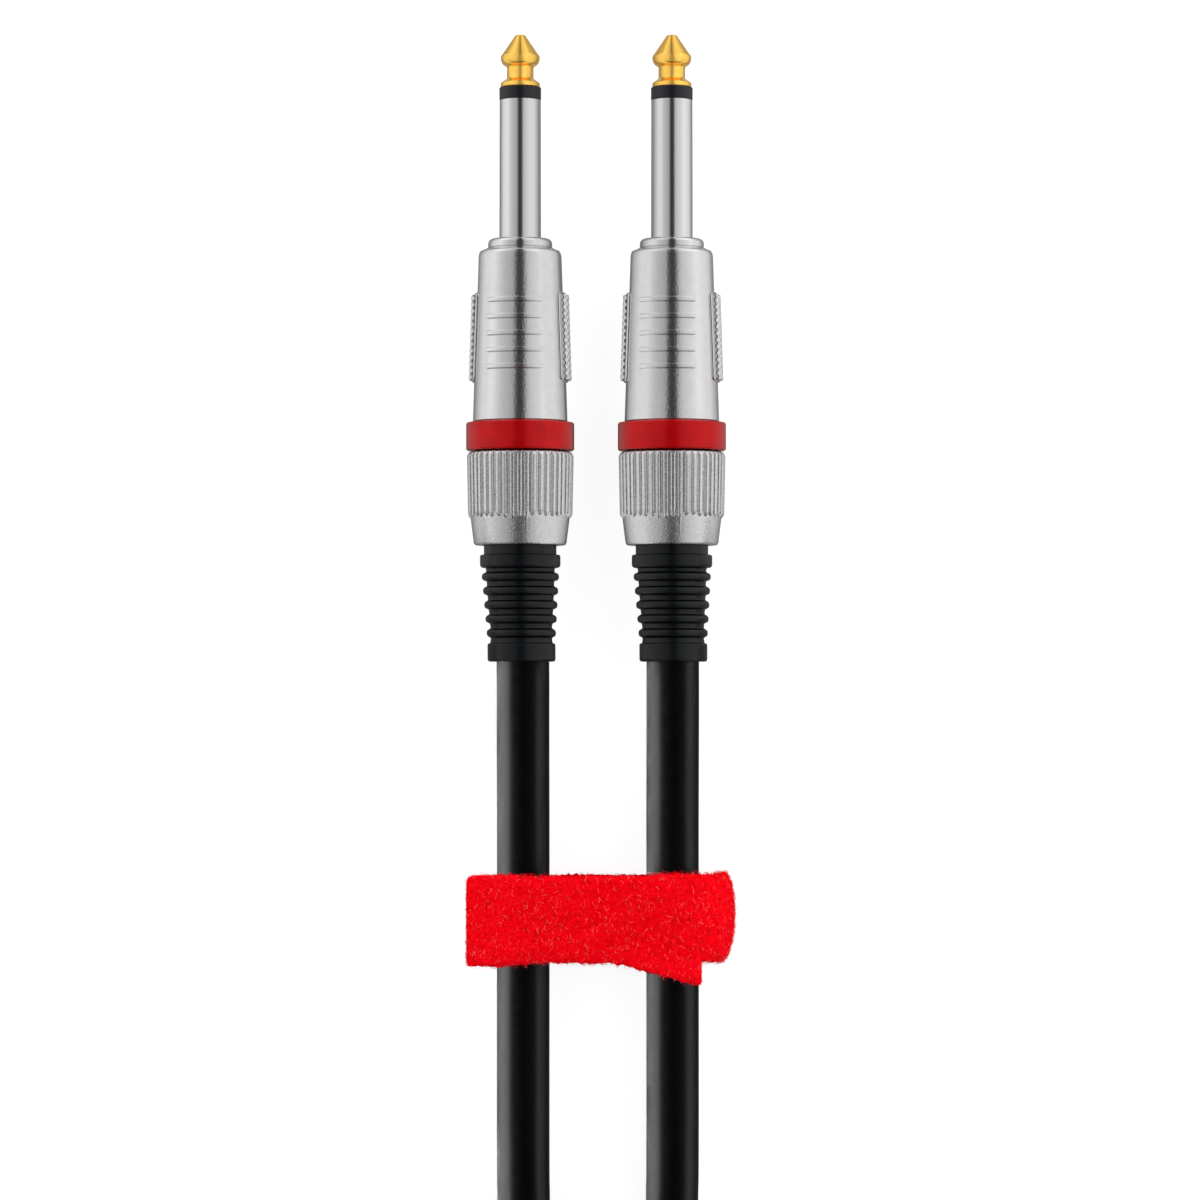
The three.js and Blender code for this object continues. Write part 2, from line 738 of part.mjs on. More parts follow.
/** Outer layer, from the right fold across the cords to its free end at the left. */
function strapFlap() {
  const right = plugAxisX + strapFoldReach - clearance;
  const left = -plugAxisX - strapLeftReach;
  const outline = roundedRectangle(right - left, strapWidth, strapCornerRadius);
  const place = new THREE.Matrix4().makeTranslation((left + right) / 2, 0, 0);
  return prism(outline, strapThickness, place, strapFlapTop - strapThickness, 2);
}

// ---------------------------------------------------------------- finishes

/** A plain finish. */
function finish(color, metalness, roughness) {
  return new THREE.MeshStandardMaterial({ color, metalness, roughness });
}

const finishes = {
  gold: finish('#d9ad58', 1, 0.16),
  nickel: finish('#c9c6c1', 1, 0.28),
  satinNickel: finish('#bdbab6', 1, 0.38),
  tinned: finish('#c4c4c0', 1, 0.45),
  blackPlastic: finish('#191a1c', 0, 0.45),
  clearPlastic: finish('#d8dadb', 0, 0.4),
  greyPlastic: finish('#4a4c50', 0, 0.5),
  redPlastic: finish('#b81419', 0, 0.32),
  boot: finish('#22282b', 0, 0.7),
  jacket: finish('#141416', 0, 0.3),
  core: finish('#e4e2da', 0, 0.5),
  copper: finish('#b9744a', 1, 0.4),
  strap: finish('#dd0a14', 0, 0.95),
  tie: finish('#1b1b1d', 0, 0.95),
};

/** A named piece of the cable. */
function piece(name, body, material) {
  const mesh = new THREE.Mesh(surface(body), material);
  mesh.name = name;
  return mesh;
}

// ---------------------------------------------------------------- assembly

const tipTag = solderTag(insulatorBore, tipTagRadius, rearWasherBack, tipTagBack, tipTagHeight, tipTagLength);
const groundTongue = -groundTagDepth - tongueThickness;
const groundTag = solderTag(
  bossHole, groundTagRadius, frontWallBack, groundTagBack, groundTongue, groundTagLength,
);
const plugPieces = [
  ['tip_contact', tipContact(), finishes.gold],
  ['tip_insulator', tipInsulator(), finishes.blackPlastic],
  ['sleeve_contact', sleeveContact(), finishes.nickel],
  ['rear_insulator', rearInsulator(), finishes.blackPlastic],
  ['tip_solder_tag', tipTag, finishes.tinned],
  ['ground_solder_tag', groundTag, finishes.tinned],
  ['shell', shell(), finishes.satinNickel],
  ['shell_liner', shellLiner(), finishes.clearPlastic],
  ['cord_chuck', chuck(), finishes.greyPlastic],
  ['colour_ring', colourRing(), finishes.redPlastic],
  ['back_nut', backNut(), finishes.satinNickel],
  ['boot', boot(), finishes.boot],
  ['core_wire', coreWire(), finishes.core],
  ['shield_tail', shieldTail(), finishes.copper],
];
const lead = cordLead();

const cable = new THREE.Group();
for (const [side, x] of [['left', -plugAxisX], ['right', plugAxisX]]) {
  const plug = new THREE.Group();
  plug.position.set(x, seatToStrap, plugHeight);
  for (const [name, body, material] of plugPieces) {
    const part = piece(`${side}_${name}`, body, material);
    if (name === 'shell') part.rotation.y = -shellRoll * degrees;
    plug.add(part);
  }
  const cordLeadPiece = piece(`${side}_cord_lead`, lead, finishes.jacket);
  cordLeadPiece.position.x = x;
  cable.add(plug, cordLeadPiece);
}
cable.add(
  piece('cord_hank', cordHank(), finishes.jacket),
  piece('hank_tie', hankTie(), finishes.tie),
  piece('strap_wrap', strapWrap(), finishes.strap),
  piece('strap_flap', strapFlap(), finishes.strap),
);

export default cable;
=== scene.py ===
"""The looks of the instrument cable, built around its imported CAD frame.

Metres, in the frame's own axes: the plugs point along +Y and the cable lies on z = 0.
Angles round a plug are measured from straight up towards +X.
"""

import json
import math

import bpy
import numpy as np
from mathutils import Matrix, Vector, geometry, noise


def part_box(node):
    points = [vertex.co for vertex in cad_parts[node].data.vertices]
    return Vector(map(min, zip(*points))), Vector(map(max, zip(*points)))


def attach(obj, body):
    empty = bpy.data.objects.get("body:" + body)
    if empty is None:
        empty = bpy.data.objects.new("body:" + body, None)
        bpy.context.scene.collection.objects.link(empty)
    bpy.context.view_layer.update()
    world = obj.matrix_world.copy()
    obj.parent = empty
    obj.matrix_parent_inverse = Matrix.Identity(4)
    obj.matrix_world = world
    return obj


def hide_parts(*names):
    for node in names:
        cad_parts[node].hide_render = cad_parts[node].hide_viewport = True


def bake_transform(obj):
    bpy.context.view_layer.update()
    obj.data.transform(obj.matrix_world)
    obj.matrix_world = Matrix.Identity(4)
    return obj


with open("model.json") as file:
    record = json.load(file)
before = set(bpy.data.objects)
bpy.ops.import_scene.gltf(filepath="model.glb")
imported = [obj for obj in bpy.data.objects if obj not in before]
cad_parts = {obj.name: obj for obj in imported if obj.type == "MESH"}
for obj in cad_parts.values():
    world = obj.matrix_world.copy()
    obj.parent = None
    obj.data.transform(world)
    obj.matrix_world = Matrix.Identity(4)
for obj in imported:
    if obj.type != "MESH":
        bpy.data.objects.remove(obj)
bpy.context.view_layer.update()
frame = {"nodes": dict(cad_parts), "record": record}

MM = 0.001
TURN = 2 * math.pi
SIDES = ("left", "right")

# -------- places, from the frame


def mm(*values):
    """Lengths given in millimetres, in metres."""
    return [value * MM for value in values]


def corners(name):
    """A CAD node's lowest and highest corners as arrays."""
    low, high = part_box(name)
    return np.array(low), np.array(high)


seat = frame["record"]["mounts"][1]["pos_m"][1]  # the collars' seating face
plug_axis = {side: sum(corners(f"{side}_colour_ring"))[[0, 2]] / 2 for side in SIDES}
plug_x, plug_z = plug_axis["right"]
tip_end = corners("left_tip_contact")[1][1]
tip_base = corners("left_tip_insulator")[1][1]
sleeve_low, sleeve_high = corners("left_sleeve_contact")
shell_low, shell_high = corners("left_shell")
ring_low, ring_high = corners("left_colour_ring")
nut_low, nut_high = corners("left_back_nut")
boot_low, boot_high = corners("left_boot")
hank_low, hank_high = corners("cord_hank")
tie_low, tie_high = corners("hank_tie")
wrap_low, wrap_high = corners("strap_wrap")
flap_low, flap_high = corners("strap_flap")
ring_radius = (ring_high[0] - ring_low[0]) / 2
collar_radius = (sleeve_high[0] - sleeve_low[0]) / 2
shell_front, shell_back = shell_high[1], ring_high[1] + 0.15 * MM
sleeve_end = sleeve_high[1] - 0.1 * MM

# How far the boots, the left cord and the right cord lie to the right of the plugs' axes
BOOT_LEAN, LEFT_LEAN, RIGHT_LEAN = mm(0.22, 0.44, 0.12)

# -------- meshes


def linked(name, data):
    """A new object in the scene."""
    obj = bpy.data.objects.new(name, data)
    bpy.context.scene.collection.objects.link(obj)
    return obj


def mesh_object(name, points, faces, material, crease=None):
    """A smooth-shaded mesh object, with sharp edges where faces meet at over crease degrees."""
    mesh = bpy.data.meshes.new(name)
    mesh.from_pydata(np.asarray(points).reshape(-1, 3).tolist(), [], faces)
    mesh.update()
    mesh.shade_smooth()
    if crease:
        mesh.set_sharp_from_angle(angle=math.radians(crease))
    mesh.materials.append(material)
    return linked(name, mesh)


def grid_faces(rows, columns, close_rows, close_columns):
    """Quads of a grid of points, kept row by row, that may close on itself either way."""
    i = np.arange(rows if close_rows else rows - 1)[:, None]
    j = np.arange(columns if close_columns else columns - 1)[None, :]
    i_next, j_next = (i + 1) % rows, (j + 1) % columns
    quads = [i * columns + j, i * columns + j_next, i_next * columns + j_next, i_next * columns + j]
    shape = (i.size, j.size)
    return np.stack([np.broadcast_to(q, shape) for q in quads], -1).reshape(-1, 4).tolist()


def end_faces(rows, columns):
    """The two faces that close the first and the last row of a grid that closes on itself."""
    last = (rows - 1) * columns
    return [list(range(columns - 1, -1, -1)), list(range(last, last + columns))]


def smooth_step(t):
    """0 below 0, 1 above 1 and smooth between, for numbers or arrays."""
    t = np.clip(t, 0, 1)
    return t * t * (3 - 2 * t)


def unit(vectors):
    """Vectors of any array shape at length 1."""
    return vectors / np.linalg.norm(vectors, axis=-1)[..., None]


def distances(points):
    """How far along a line each of its points is."""
    return np.concatenate([[0], np.cumsum(np.linalg.norm(np.diff(points, axis=0), axis=1))])


def bend(start, leaving, arriving, end, count=9):
    """Points along a Bezier arc in (radius, station)."""
    knots = [Vector((*p, 0)) for p in (start, leaving, arriving, end)]
    return [(p.x, p.y) for p in geometry.interpolate_bezier(*knots, count)]


def leaning(station, amount):
    """How far a boot or its cord has moved sideways at a station, all of it from the boot's end on."""
    return amount * smooth_step((nut_low[1] - station) / (nut_low[1] - boot_low[1]))


def rounded(outline, steps=6, guard=0.1 * MM):
    """The points of a closed outline of (radius, station, fillet) corners, with the corners rounded."""
    points = []
    for k, (radius, station, fillet) in enumerate(outline):
        here = Vector((radius, station))
        if not fillet:
            points.append(here)
            continue
        back = (Vector(outline[k - 1][:2]) - here).normalized()
        ahead = (Vector(outline[(k + 1) % len(outline)][:2]) - here).normalized()
        half = back.angle(ahead) / 2
        reach = fillet / math.tan(half)
        centre = here + (back + ahead).normalized() * (fillet / math.sin(half))
        start = here + back * reach - centre
        end = here + ahead * reach - centre
        sweep = math.atan2(start.x * end.y - start.y * end.x, start.dot(end))
        points.append(centre + start + back * guard)
        points += [centre + Matrix.Rotation(sweep * n / steps, 2) @ start for n in range(steps + 1)]
        points.append(centre + end + ahead * guard)
    return [(p.x, p.y) for p in points]


def about_axis(side, angle, station, radius, lean=0):
    """Points at an angle, a station and a radius about a plug's axis."""
    x, z = plug_axis[side]
    x = x + leaning(station, lean)
    return np.stack([x + radius * np.sin(angle), station, z + radius * np.cos(angle)], -1)


def revolved(name, side, outline, material, turns=96, relief=None, closed=True, crease=40, lean=0):
    """A body turned about a plug's axis from (radius, station) points that run forward on its outside.
    relief(angle, station, radius) is how far its surface stands out there. It may lean to +X as the
    cord does."""
    outline = np.array(outline)
    angle = np.arange(turns)[None, :] / turns * TURN
    radius = np.repeat(outline[:, :1], turns, 1)
    station = np.repeat(outline[:, 1:2], turns, 1)
    if relief is not None:
        radius = radius + relief(angle, station, radius)
    faces = grid_faces(len(outline), turns, closed, True)
    if not closed:
        faces += end_faces(len(outline), turns)
    return mesh_object(name, about_axis(side, angle, station, radius, lean), faces, material, crease)


def dressed(obj, body, slot, *nodes):
    """A finished piece: it rides on a body and stands for CAD nodes. slot is not used."""
    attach(obj, body)
    if nodes:
        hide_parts(*nodes)
    return obj


# -------- finishes


def feed(tree, socket, value):
    """A socket takes a value, or the output of another node."""
    if isinstance(value, bpy.types.NodeSocket):
        tree.links.new(value, socket)
    else:
        socket.default_value = value


def node(tree, kind, sockets=None, **settings):
    """The outputs of a new shader node, with its settings and what its sockets take."""
    made = tree.nodes.new("ShaderNode" + kind)
    for name, value in settings.items():
        setattr(made, name, value)
    for name, value in (sockets or {}).items():
        feed(tree, made.inputs[name], value)
    return made.outputs


def computed(tree, operation, *values):
    """The result of an operation on values or other nodes' outputs."""
    return node(tree, "Math", dict(enumerate(values)), operation=operation)["Value"]


def mapped(tree, value, start, end, low=0.0, high=1.0):
    """A value that runs from low to high while another runs from start to end."""
    limits = {"From Min": start, "From Max": end, "To Min": low, "To Max": high}
    return node(tree, "MapRange", {"Value": value, **limits})["Result"]


def shader(material):
    """The sockets of a material's shader."""
    return material.node_tree.nodes["Principled BSDF"].inputs


def finish(name, color, roughness, metallic=0.0, **sockets):
    """A material. Further sockets of its shader are named with _ for the spaces in their names."""
    material = bpy.data.materials.new(name)
    material.use_nodes = True
    plain = {"Base_Color": (*color, 1), "Roughness": roughness, "Metallic": metallic}
    for socket, value in {**plain, **sockets}.items():
        shader(material)[socket.replace("_", " ")].default_value = value
    return material


def speckle(material, size, stretch=(1, 1, 1), detail=2.0):
    """Noise through the material, with grains of about size metres, as a factor."""
    tree = material.node_tree
    place = node(tree, "TexCoord")["Object"]
    scale = [1 / (size * share) for share in stretch]
    scaled = node(tree, "Mapping", {"Vector": place, "Scale": scale})["Vector"]
    return node(tree, "TexNoise", {"Vector": scaled, "Scale": 1.0, "Detail": detail})["Fac"]


def ramp(owner, factor, stops):
    """Colours over a factor, from (factor, color) stops, in a material or a world."""
    made = owner.node_tree.nodes.new("ShaderNodeValToRGB")
    elements = made.color_ramp.elements
    while len(elements) < len(stops):
        elements.new(0.5)
    for element, (at, color) in zip(elements, stops):
        element.position = at
        element.color = (*color, 1)
    feed(owner.node_tree, made.inputs["Fac"], factor)
    return made.outputs["Color"]


def tinted(material, factor, stops):
    """The material's colour follows a factor."""
    feed(material.node_tree, shader(material)["Base Color"], ramp(material, factor, stops))
    return material


def uneven(material, low, high, *grain):
    """The material's roughness follows a speckle, mostly between the low and the high one."""
    roughness = mapped(material.node_tree, speckle(material, *grain), 0.3, 0.7, low, high)
    feed(material.node_tree, shader(material)["Roughness"], roughness)


def embossed(material, factor, depth):
    """The material's surface rises by depth metres with a factor. A second relief adds to the first."""
    tree = material.node_tree
    normal = shader(material)["Normal"]
    sockets = {"Height": factor, "Distance": depth}
    if normal.is_linked:
        sockets["Normal"] = normal.links[0].from_socket
    feed(tree, normal, node(tree, "Bump", sockets)["Normal"])
    return material


def gold():
    """The tips: bright gold plating."""
    material = finish("gold", (1.0, 0.60, 0.115), 0.12, 0.85)
    uneven(material, 0.09, 0.14, 0.6 * MM)
    return embossed(material, speckle(material, 0.4 * MM), 0.003 * MM)


def nickel():
    """The sleeves: drawn and lightly brushed round."""
    material = finish("nickel", (0.70, 0.69, 0.69), 0.12, 1.0)
    uneven(material, 0.09, 0.16, 0.5 * MM, (1, 0.15, 1))
    embossed(material, speckle(material, 0.3 * MM, (3, 0.3, 3)), 0.0012 * MM)
    return embossed(material, speckle(material, 0.15 * MM), 0.0008 * MM)


def satin_nickel():
    """The shells: cast, then blasted and plated, with a fine grain."""
    material = finish("satin_nickel", (0.70, 0.69, 0.69), 0.18, 1.0)
    tinted(material, speckle(material, 1.5 * MM), [(0.3, (0.68, 0.67, 0.67)), (0.7, (0.72, 0.71, 0.71))])
    uneven(material, 0.11, 0.18, 0.3 * MM)
    embossed(material, speckle(material, 1.6 * MM, (1, 2, 1)), 0.004 * MM)
    return embossed(material, speckle(material, 0.3 * MM, detail=3.0), 0.02 * MM)


def coarse_nickel():
    """The nuts: blasted and plated, with a coarser grain."""
    material = finish("coarse_nickel", (0.62, 0.61, 0.61), 0.3, 1.0)
    tinted(material, speckle(material, 0.25 * MM), [(0.3, (0.56, 0.55, 0.55)), (0.7, (0.70, 0.69, 0.69))])
    uneven(material, 0.2, 0.3, 0.3 * MM)
    return embossed(material, speckle(material, 0.26 * MM, detail=3.0), 0.045 * MM)


def moulded(name, color, roughness, grain=0.4 * MM, depth=0.002 * MM, **sockets):
    """Moulded plastic or rubber, with a faint grain and small changes of shade."""
    material = finish(name, color, roughness, **sockets)
    shades = [(0.3, [c * 0.88 for c in color]), (0.7, [min(c * 1.12, 1) for c in color])]
    tinted(material, speckle(material, 2.5 * MM), shades)
    uneven(material, roughness * 0.88, roughness * 1.12, 1.2 * MM)
    return embossed(material, speckle(material, grain), depth)


def plain_metal(name, color, roughness):
    """A small metal part inside a plug."""
    material = finish(name, color, roughness, 1.0)
    uneven(material, roughness * 0.8, roughness * 1.2, 0.5 * MM)
    return embossed(material, speckle(material, 0.3 * MM), 0.006 * MM)


def pile():
    """The strap's looped pile: its red follows a speckle, deeper as painted shade between the loops and
    brighter as a painted highlight on them.
    """
    material = finish("strap_pile", (0.95, 0.0, 0.006), 0.9, Specular_IOR_Level=0.03)
    loops = speckle(material, 0.22 * MM, (2, 1, 2), detail=3.0)
    # painted shade and highlight: darker red where the speckle is low, brighter and a little pink where it
    # is high
    painted_shade_and_highlight_reds = [(0.3, (0.72, 0.0, 0.003)), (0.45, (0.98, 0.0, 0.006)), (0.8, (1.0, 0.01, 0.02))]
    tinted(material, loops, painted_shade_and_highlight_reds)
    embossed(material, speckle(material, 0.5 * MM, detail=4.0), 0.25 * MM)
    return embossed(material, speckle(material, 0.18 * MM, detail=3.0), 0.12 * MM)


def fibre(name, stops):
    """Loose fibres, each with a shade of its own."""
    material = finish(name, stops[0][1], 0.8, Specular_IOR_Level=0.02)
    own = node(material.node_tree, "NewGeometry")["Random Per Island"]
    return tinted(material, own, stops)


def woven(name, color, thread):
    """Tightly woven tape of crossing threads."""
    material = finish(name, color, 0.85, Specular_IOR_Level=0.2)
    tree = material.node_tree
    waves = {"Vector": node(tree, "TexCoord")["Object"], "Scale": 1 / (thread * 3.2), "Distortion": 0.6}
    threads = [node(tree, "TexWave", waves, bands_direction=axis)["Fac"] for axis in ("X", "Y")]
    tinted(material, speckle(material, 0.5 * MM), [(0.3, color), (0.8, [c * 1.7 for c in color])])
    return embossed(material, computed(tree, "MULTIPLY", *threads), 0.08 * MM)


# The fibres' reds; the pale pink fibres at the top are painted highlight specks
FIBRE_REDS_AND_PAINTED_GLINTS = [
    (0.0, (0.45, 0.0, 0.003)),
    (0.2, (0.94, 0.0, 0.008)),
    (0.84, (1.0, 0.0, 0.01)),
    (1.0, (1.0, 0.25, 0.25)),
]
RING_RED = (0.46, 0.0015, 0.003)
JACKET_BLACK = (0.0005, 0.0005, 0.0006)

look = {
    "gold": gold(),
    "nickel": nickel(),
    "satin_nickel": satin_nickel(),
    "coarse_nickel": coarse_nickel(),
    "tinned": plain_metal("tinned", (0.60, 0.60, 0.58), 0.4),
    "copper": plain_metal("copper", (0.72, 0.30, 0.13), 0.35),
    "black_plastic": moulded("black_plastic", (0.006, 0.007, 0.010), 0.3, Specular_IOR_Level=0.4),
    "clear_plastic": moulded("clear_plastic", (0.7, 0.7, 0.7), 0.35),
    "grey_plastic": moulded("grey_plastic", (0.07, 0.07, 0.08), 0.5),
    "red_plastic": moulded("red_plastic", RING_RED, 0.2, metallic=0.34, Specular_IOR_Level=0.24),
    "boot_rubber": moulded("boot_rubber", (0.0022, 0.0034, 0.0045), 0.28, Specular_IOR_Level=0.27),
    "jacket": moulded("jacket", JACKET_BLACK, 0.34, 0.8 * MM, 0.001 * MM, Specular_IOR_Level=0.035),
    "core_insulation": moulded("core_insulation", (0.75, 0.73, 0.68), 0.5),
    "strap_pile": pile(),
    "strap_fibre": fibre("strap_fibre", FIBRE_REDS_AND_PAINTED_GLINTS),
    "tie_tape": woven("tie_tape", (0.010, 0.010, 0.011), 0.5 * MM),
}

# -------- contacts


def tip(side):
    """The tip: base land, waist, ball and cone to a small flat, in millimetres from its base."""
    base, neck, shoulder, ball, cone, flat = 2.98, 2.03, 2.35, 2.97, 2.65, 0.72
    land, neck_start, neck_end, under, widest, slope = 0.7, 1.5, 2.95, 3.3, 4.6, 5.2
    end = (tip_end - tip_base) / MM
    points = [(base - 0.1, 0.02), (base, 0.12)]
    points += bend((base, land - 0.1), (base, land + 0.1),
                   (neck + 0.05, neck_start - 0.35), (neck, neck_start))
    points += bend((neck, neck_end), (neck, neck_end + 0.2),
                   (neck + 0.12, under - 0.12), (shoulder, under), 6)
    points += bend((shoulder, under), (shoulder + 0.4, under + 0.22),
                   (ball, widest - 0.65), (ball, widest), 12)[1:]
    points += bend((ball, widest), (ball, widest + 0.22),
                   (cone + 0.12, slope - 0.18), (cone, slope), 8)[1:]
    points += bend((flat + 0.15, end - 0.2), (flat + 0.05, end - 0.06),
                   (flat - 0.02, end), (flat - 0.15, end), 6)
    outline = [(radius * MM, tip_base + ahead * MM) for radius, ahead in points]
    obj = revolved(f"{side}_tip", side, outline, look["gold"], closed=False, crease=60)
    return dressed(obj, "root", "gold", f"{side}_tip_contact")


def insulator(side):
    """The black ring between tip and sleeve."""
    outer, bore = mm(3.175, 1.5)
    outline = rounded([
        (bore, sleeve_end, 0),
        (outer, sleeve_end, 0.12 * MM),
        (outer, tip_base, 0.12 * MM),
        (bore, tip_base, 0),
    ], steps=4, guard=0.05 * MM)
    obj = revolved(f"{side}_insulator_ring", side, outline, look["black_plastic"])
    return dressed(obj, "root", "black_plastic", f"{side}_tip_insulator")


def sleeve(side):
    """The sleeve and its seating collar, with the boss that holds them in the shell."""
    outer, bore, boss, lip = mm(3.175, 2.3, 2.9, 3.45)
    swaged = sleeve_low[1]
    outline = rounded([
        (bore, swaged, 0),
        (lip, swaged, 0.15 * MM),
        (lip, swaged + 0.7 * MM, 0),
        (boss, swaged + 0.7 * MM, 0),
        (boss, shell_front, 0),
        (collar_radius, shell_front, 0.15 * MM),
        (collar_radius, seat, 0.75 * MM),
        (outer, seat, 0.12 * MM),
        (outer - 0.03 * MM, sleeve_end - 0.01 * MM, 0.08 * MM),
        (bore, sleeve_end - 0.01 * MM, 0),
    ], steps=7, guard=0.05 * MM)
    obj = revolved(f"{side}_sleeve", side, outline, look["nickel"], turns=128)
    return dressed(obj, "root", "nickel", f"{side}_sleeve_contact")


# -------- shell

SHELL_FRONT_RADIUS = 6.33 * MM
SHELL_BACK_RADIUS = 7.17 * MM
SHELL_ROLL = math.radians(-8)
RIDGES = 5
RIDGE_FIRST, RIDGE_PITCH = mm(8.2, 2.52)
RIDGE_HEIGHT, RIDGE_HALF_WIDTH, RIDGE_HALF_LENGTH = mm(0.36, 0.42, 4.65)
FINE_STEP, PLAIN_STEP = mm(0.045, 0.12)
PAD_FRONT, PAD_LENGTH, PAD_HALF_WIDTH = mm(6.8, 13.6, 2.75)
PAD_CORNER, PAD_END_MARGIN = 0.9 * MM, 0.4
# A pad's (distance in from its outline, height) in millimetres: a low lip, a groove, the raised field
PAD_LIP = [(0, 0), (0.1, 0.26), (0.18, 0.32), (0.38, 0.32), (0.46, 0.26)]
PAD_PROFILE = [*PAD_LIP, (0.54, 0.05), (0.7, 0.03), (0.8, 0.5), (0.9, 0.66), (1.0, 0.7)]
STUD_LENGTH, STUD_WIDTH, STUD_HEIGHT = mm(1.0, 0.75, 0.34)
PANEL_DEPTH, PANEL_HALF_WIDTH = mm(0.12, 2.0)
SPIGOT_RADIUS = 6.6 * MM
THREAD_PITCH, THREAD_DEPTH = mm(1.0, 0.32)


def shell_radius(station):
    """The shell's tapered radius."""
    along = (shell_front - station) / (shell_front - shell_back)
    return SHELL_FRONT_RADIUS + (SHELL_BACK_RADIUS - SHELL_FRONT_RADIUS) * along


def off_middle(angle, centre):
    """How far an angle is from a centre, from -pi to pi."""
    return (angle - centre + math.pi) % TURN - math.pi


def shell_relief(angle, station, radius):
    """Ridges over and under, a shallow panel on each side, and the thread of the spigot."""
    out = np.zeros(np.broadcast(angle, station).shape)
    outside = (radius > shell_radius(station) - 0.3 * MM) & (station > shell_back)
    for centre in (SHELL_ROLL, SHELL_ROLL + math.pi):
        across = np.abs(off_middle(angle, centre)) * radius
        beyond = np.maximum(across - (RIDGE_HALF_LENGTH - RIDGE_HALF_WIDTH), 0)
        for k in range(RIDGES):
            along = station - (shell_front - RIDGE_FIRST - k * RIDGE_PITCH)
            distance = np.hypot(beyond, along) / RIDGE_HALF_WIDTH
            out = np.maximum(out, RIDGE_HEIGHT * smooth_step((1 - distance) / 0.45))
    for centre in (SHELL_ROLL + math.pi / 2, SHELL_ROLL - math.pi / 2):
        across = np.abs(off_middle(angle, centre) * radius)
        panel = (across < PANEL_HALF_WIDTH) & (station > shell_front - PAD_FRONT - 1 * MM)
        out = np.where(panel, -PANEL_DEPTH * smooth_step((PANEL_HALF_WIDTH - across) / (0.3 * MM)), out)
    out = np.where(outside, out, 0)
    winding = (station / THREAD_PITCH + angle / TURN) % 1
    thread = THREAD_DEPTH * (np.abs(winding - 0.5) * 2 - 1)
    threaded = (radius > SPIGOT_RADIUS - 0.05 * MM) & (station < shell_back - 1.2 * MM)
    return np.where(threaded, thread * smooth_step((station - shell_low[1]) / (0.8 * MM)), out)


def shell(side):
    """The shell with its spigot: a fine outside surface on a plain bore."""
    corner = 1.35 * MM
    spigot = [(SPIGOT_RADIUS, y) for y in np.arange(shell_low[1], shell_back - 0.3 * MM, 0.1 * MM)]
    wall = []
    station = shell_back + 0.05 * MM
    while station < shell_front - corner:
        wall.append((shell_radius(station), station))
        along = shell_front - RIDGE_FIRST - station
        nearest = RIDGE_PITCH * min(max(round(along / RIDGE_PITCH), 0), RIDGES - 1)
        station += FINE_STEP if abs(along - nearest) < 1.3 * RIDGE_HALF_WIDTH else PLAIN_STEP
    hole, bore, wide_bore = mm(3.2, 5.2, 5.8)
    front_wall = shell_front - 2 * MM
    step_front, step_back = shell_low[1] + 10 * MM, shell_low[1] + 9.5 * MM
    top = shell_radius(shell_front - corner)
    rim, face = top - 0.5 * MM, 4.6 * MM
    nose = bend((top, shell_front - corner), (top - 0.02 * MM, shell_front - 0.6 * corner),
                (rim + 0.3 * MM, shell_front - 0.52 * MM), (rim, shell_front - 0.42 * MM), 9)
    nose += [(rim - 0.04 * MM, shell_front - 0.44 * MM), (rim - 0.1 * MM, shell_front - 0.42 * MM)]
    nose += [(face + 0.5 * MM, shell_front - 0.06 * MM), (face + 0.3 * MM, shell_front)]
    nose += [(face, shell_front)]
    outline = [
        (SPIGOT_RADIUS - 0.5 * MM, shell_low[1]),
        *spigot,
        (SPIGOT_RADIUS - 0.3 * MM, shell_back - 0.2 * MM),
        (SPIGOT_RADIUS - 0.3 * MM, shell_back - 0.05 * MM),
        (SHELL_BACK_RADIUS - 0.12 * MM, shell_back - 0.05 * MM),
        *wall,
        *nose,
        (hole, shell_front - 0.02 * MM),
        (hole, front_wall),
        (bore, front_wall),
        (bore, step_front),
        (wide_bore, step_back),
        (wide_bore, shell_low[1]),
    ]
    obj = revolved(f"{side}_shell_body", side, outline, look["satin_nickel"], 432, shell_relief, crease=60)
    return dressed(obj, "root", "satin_nickel", f"{side}_shell")


def pad_outline(inset):
    """Corners (across, along) of the pads' rounded outline, drawn in by inset, from its own middle."""
    half = max(PAD_HALF_WIDTH - inset, 0.001 * MM)
    half_length = PAD_LENGTH / 2 - PAD_END_MARGIN * inset
    corner = min(max(PAD_CORNER - inset, 0.02 * MM), half)
    points = []
    for k, (right, ahead) in enumerate([(1, 1), (-1, 1), (-1, -1), (1, -1)]):
        middle = (right * (half - corner), ahead * (half_length - corner))
        turns = np.linspace(0, math.pi / 2, 7) + math.pi / 2 * k
        points += [(middle[0] + corner * math.cos(t), middle[1] + corner * math.sin(t)) for t in turns]
    return np.array(points + points[:1])


def pad_rings(insets, count=300):
    """The outline at each inset, cut at the same shares of its sides so that the rings line up."""
    outlines = [pad_outline(inset) for inset in insets]
    along = distances(outlines[0])
    knots = np.arange(len(along))
    shares = np.interp(np.arange(count) / count * along[-1], along, knots)
    return np.array([np.stack([np.interp(shares, knots, o[:, k]) for k in (0, 1)], -1) for o in outlines])


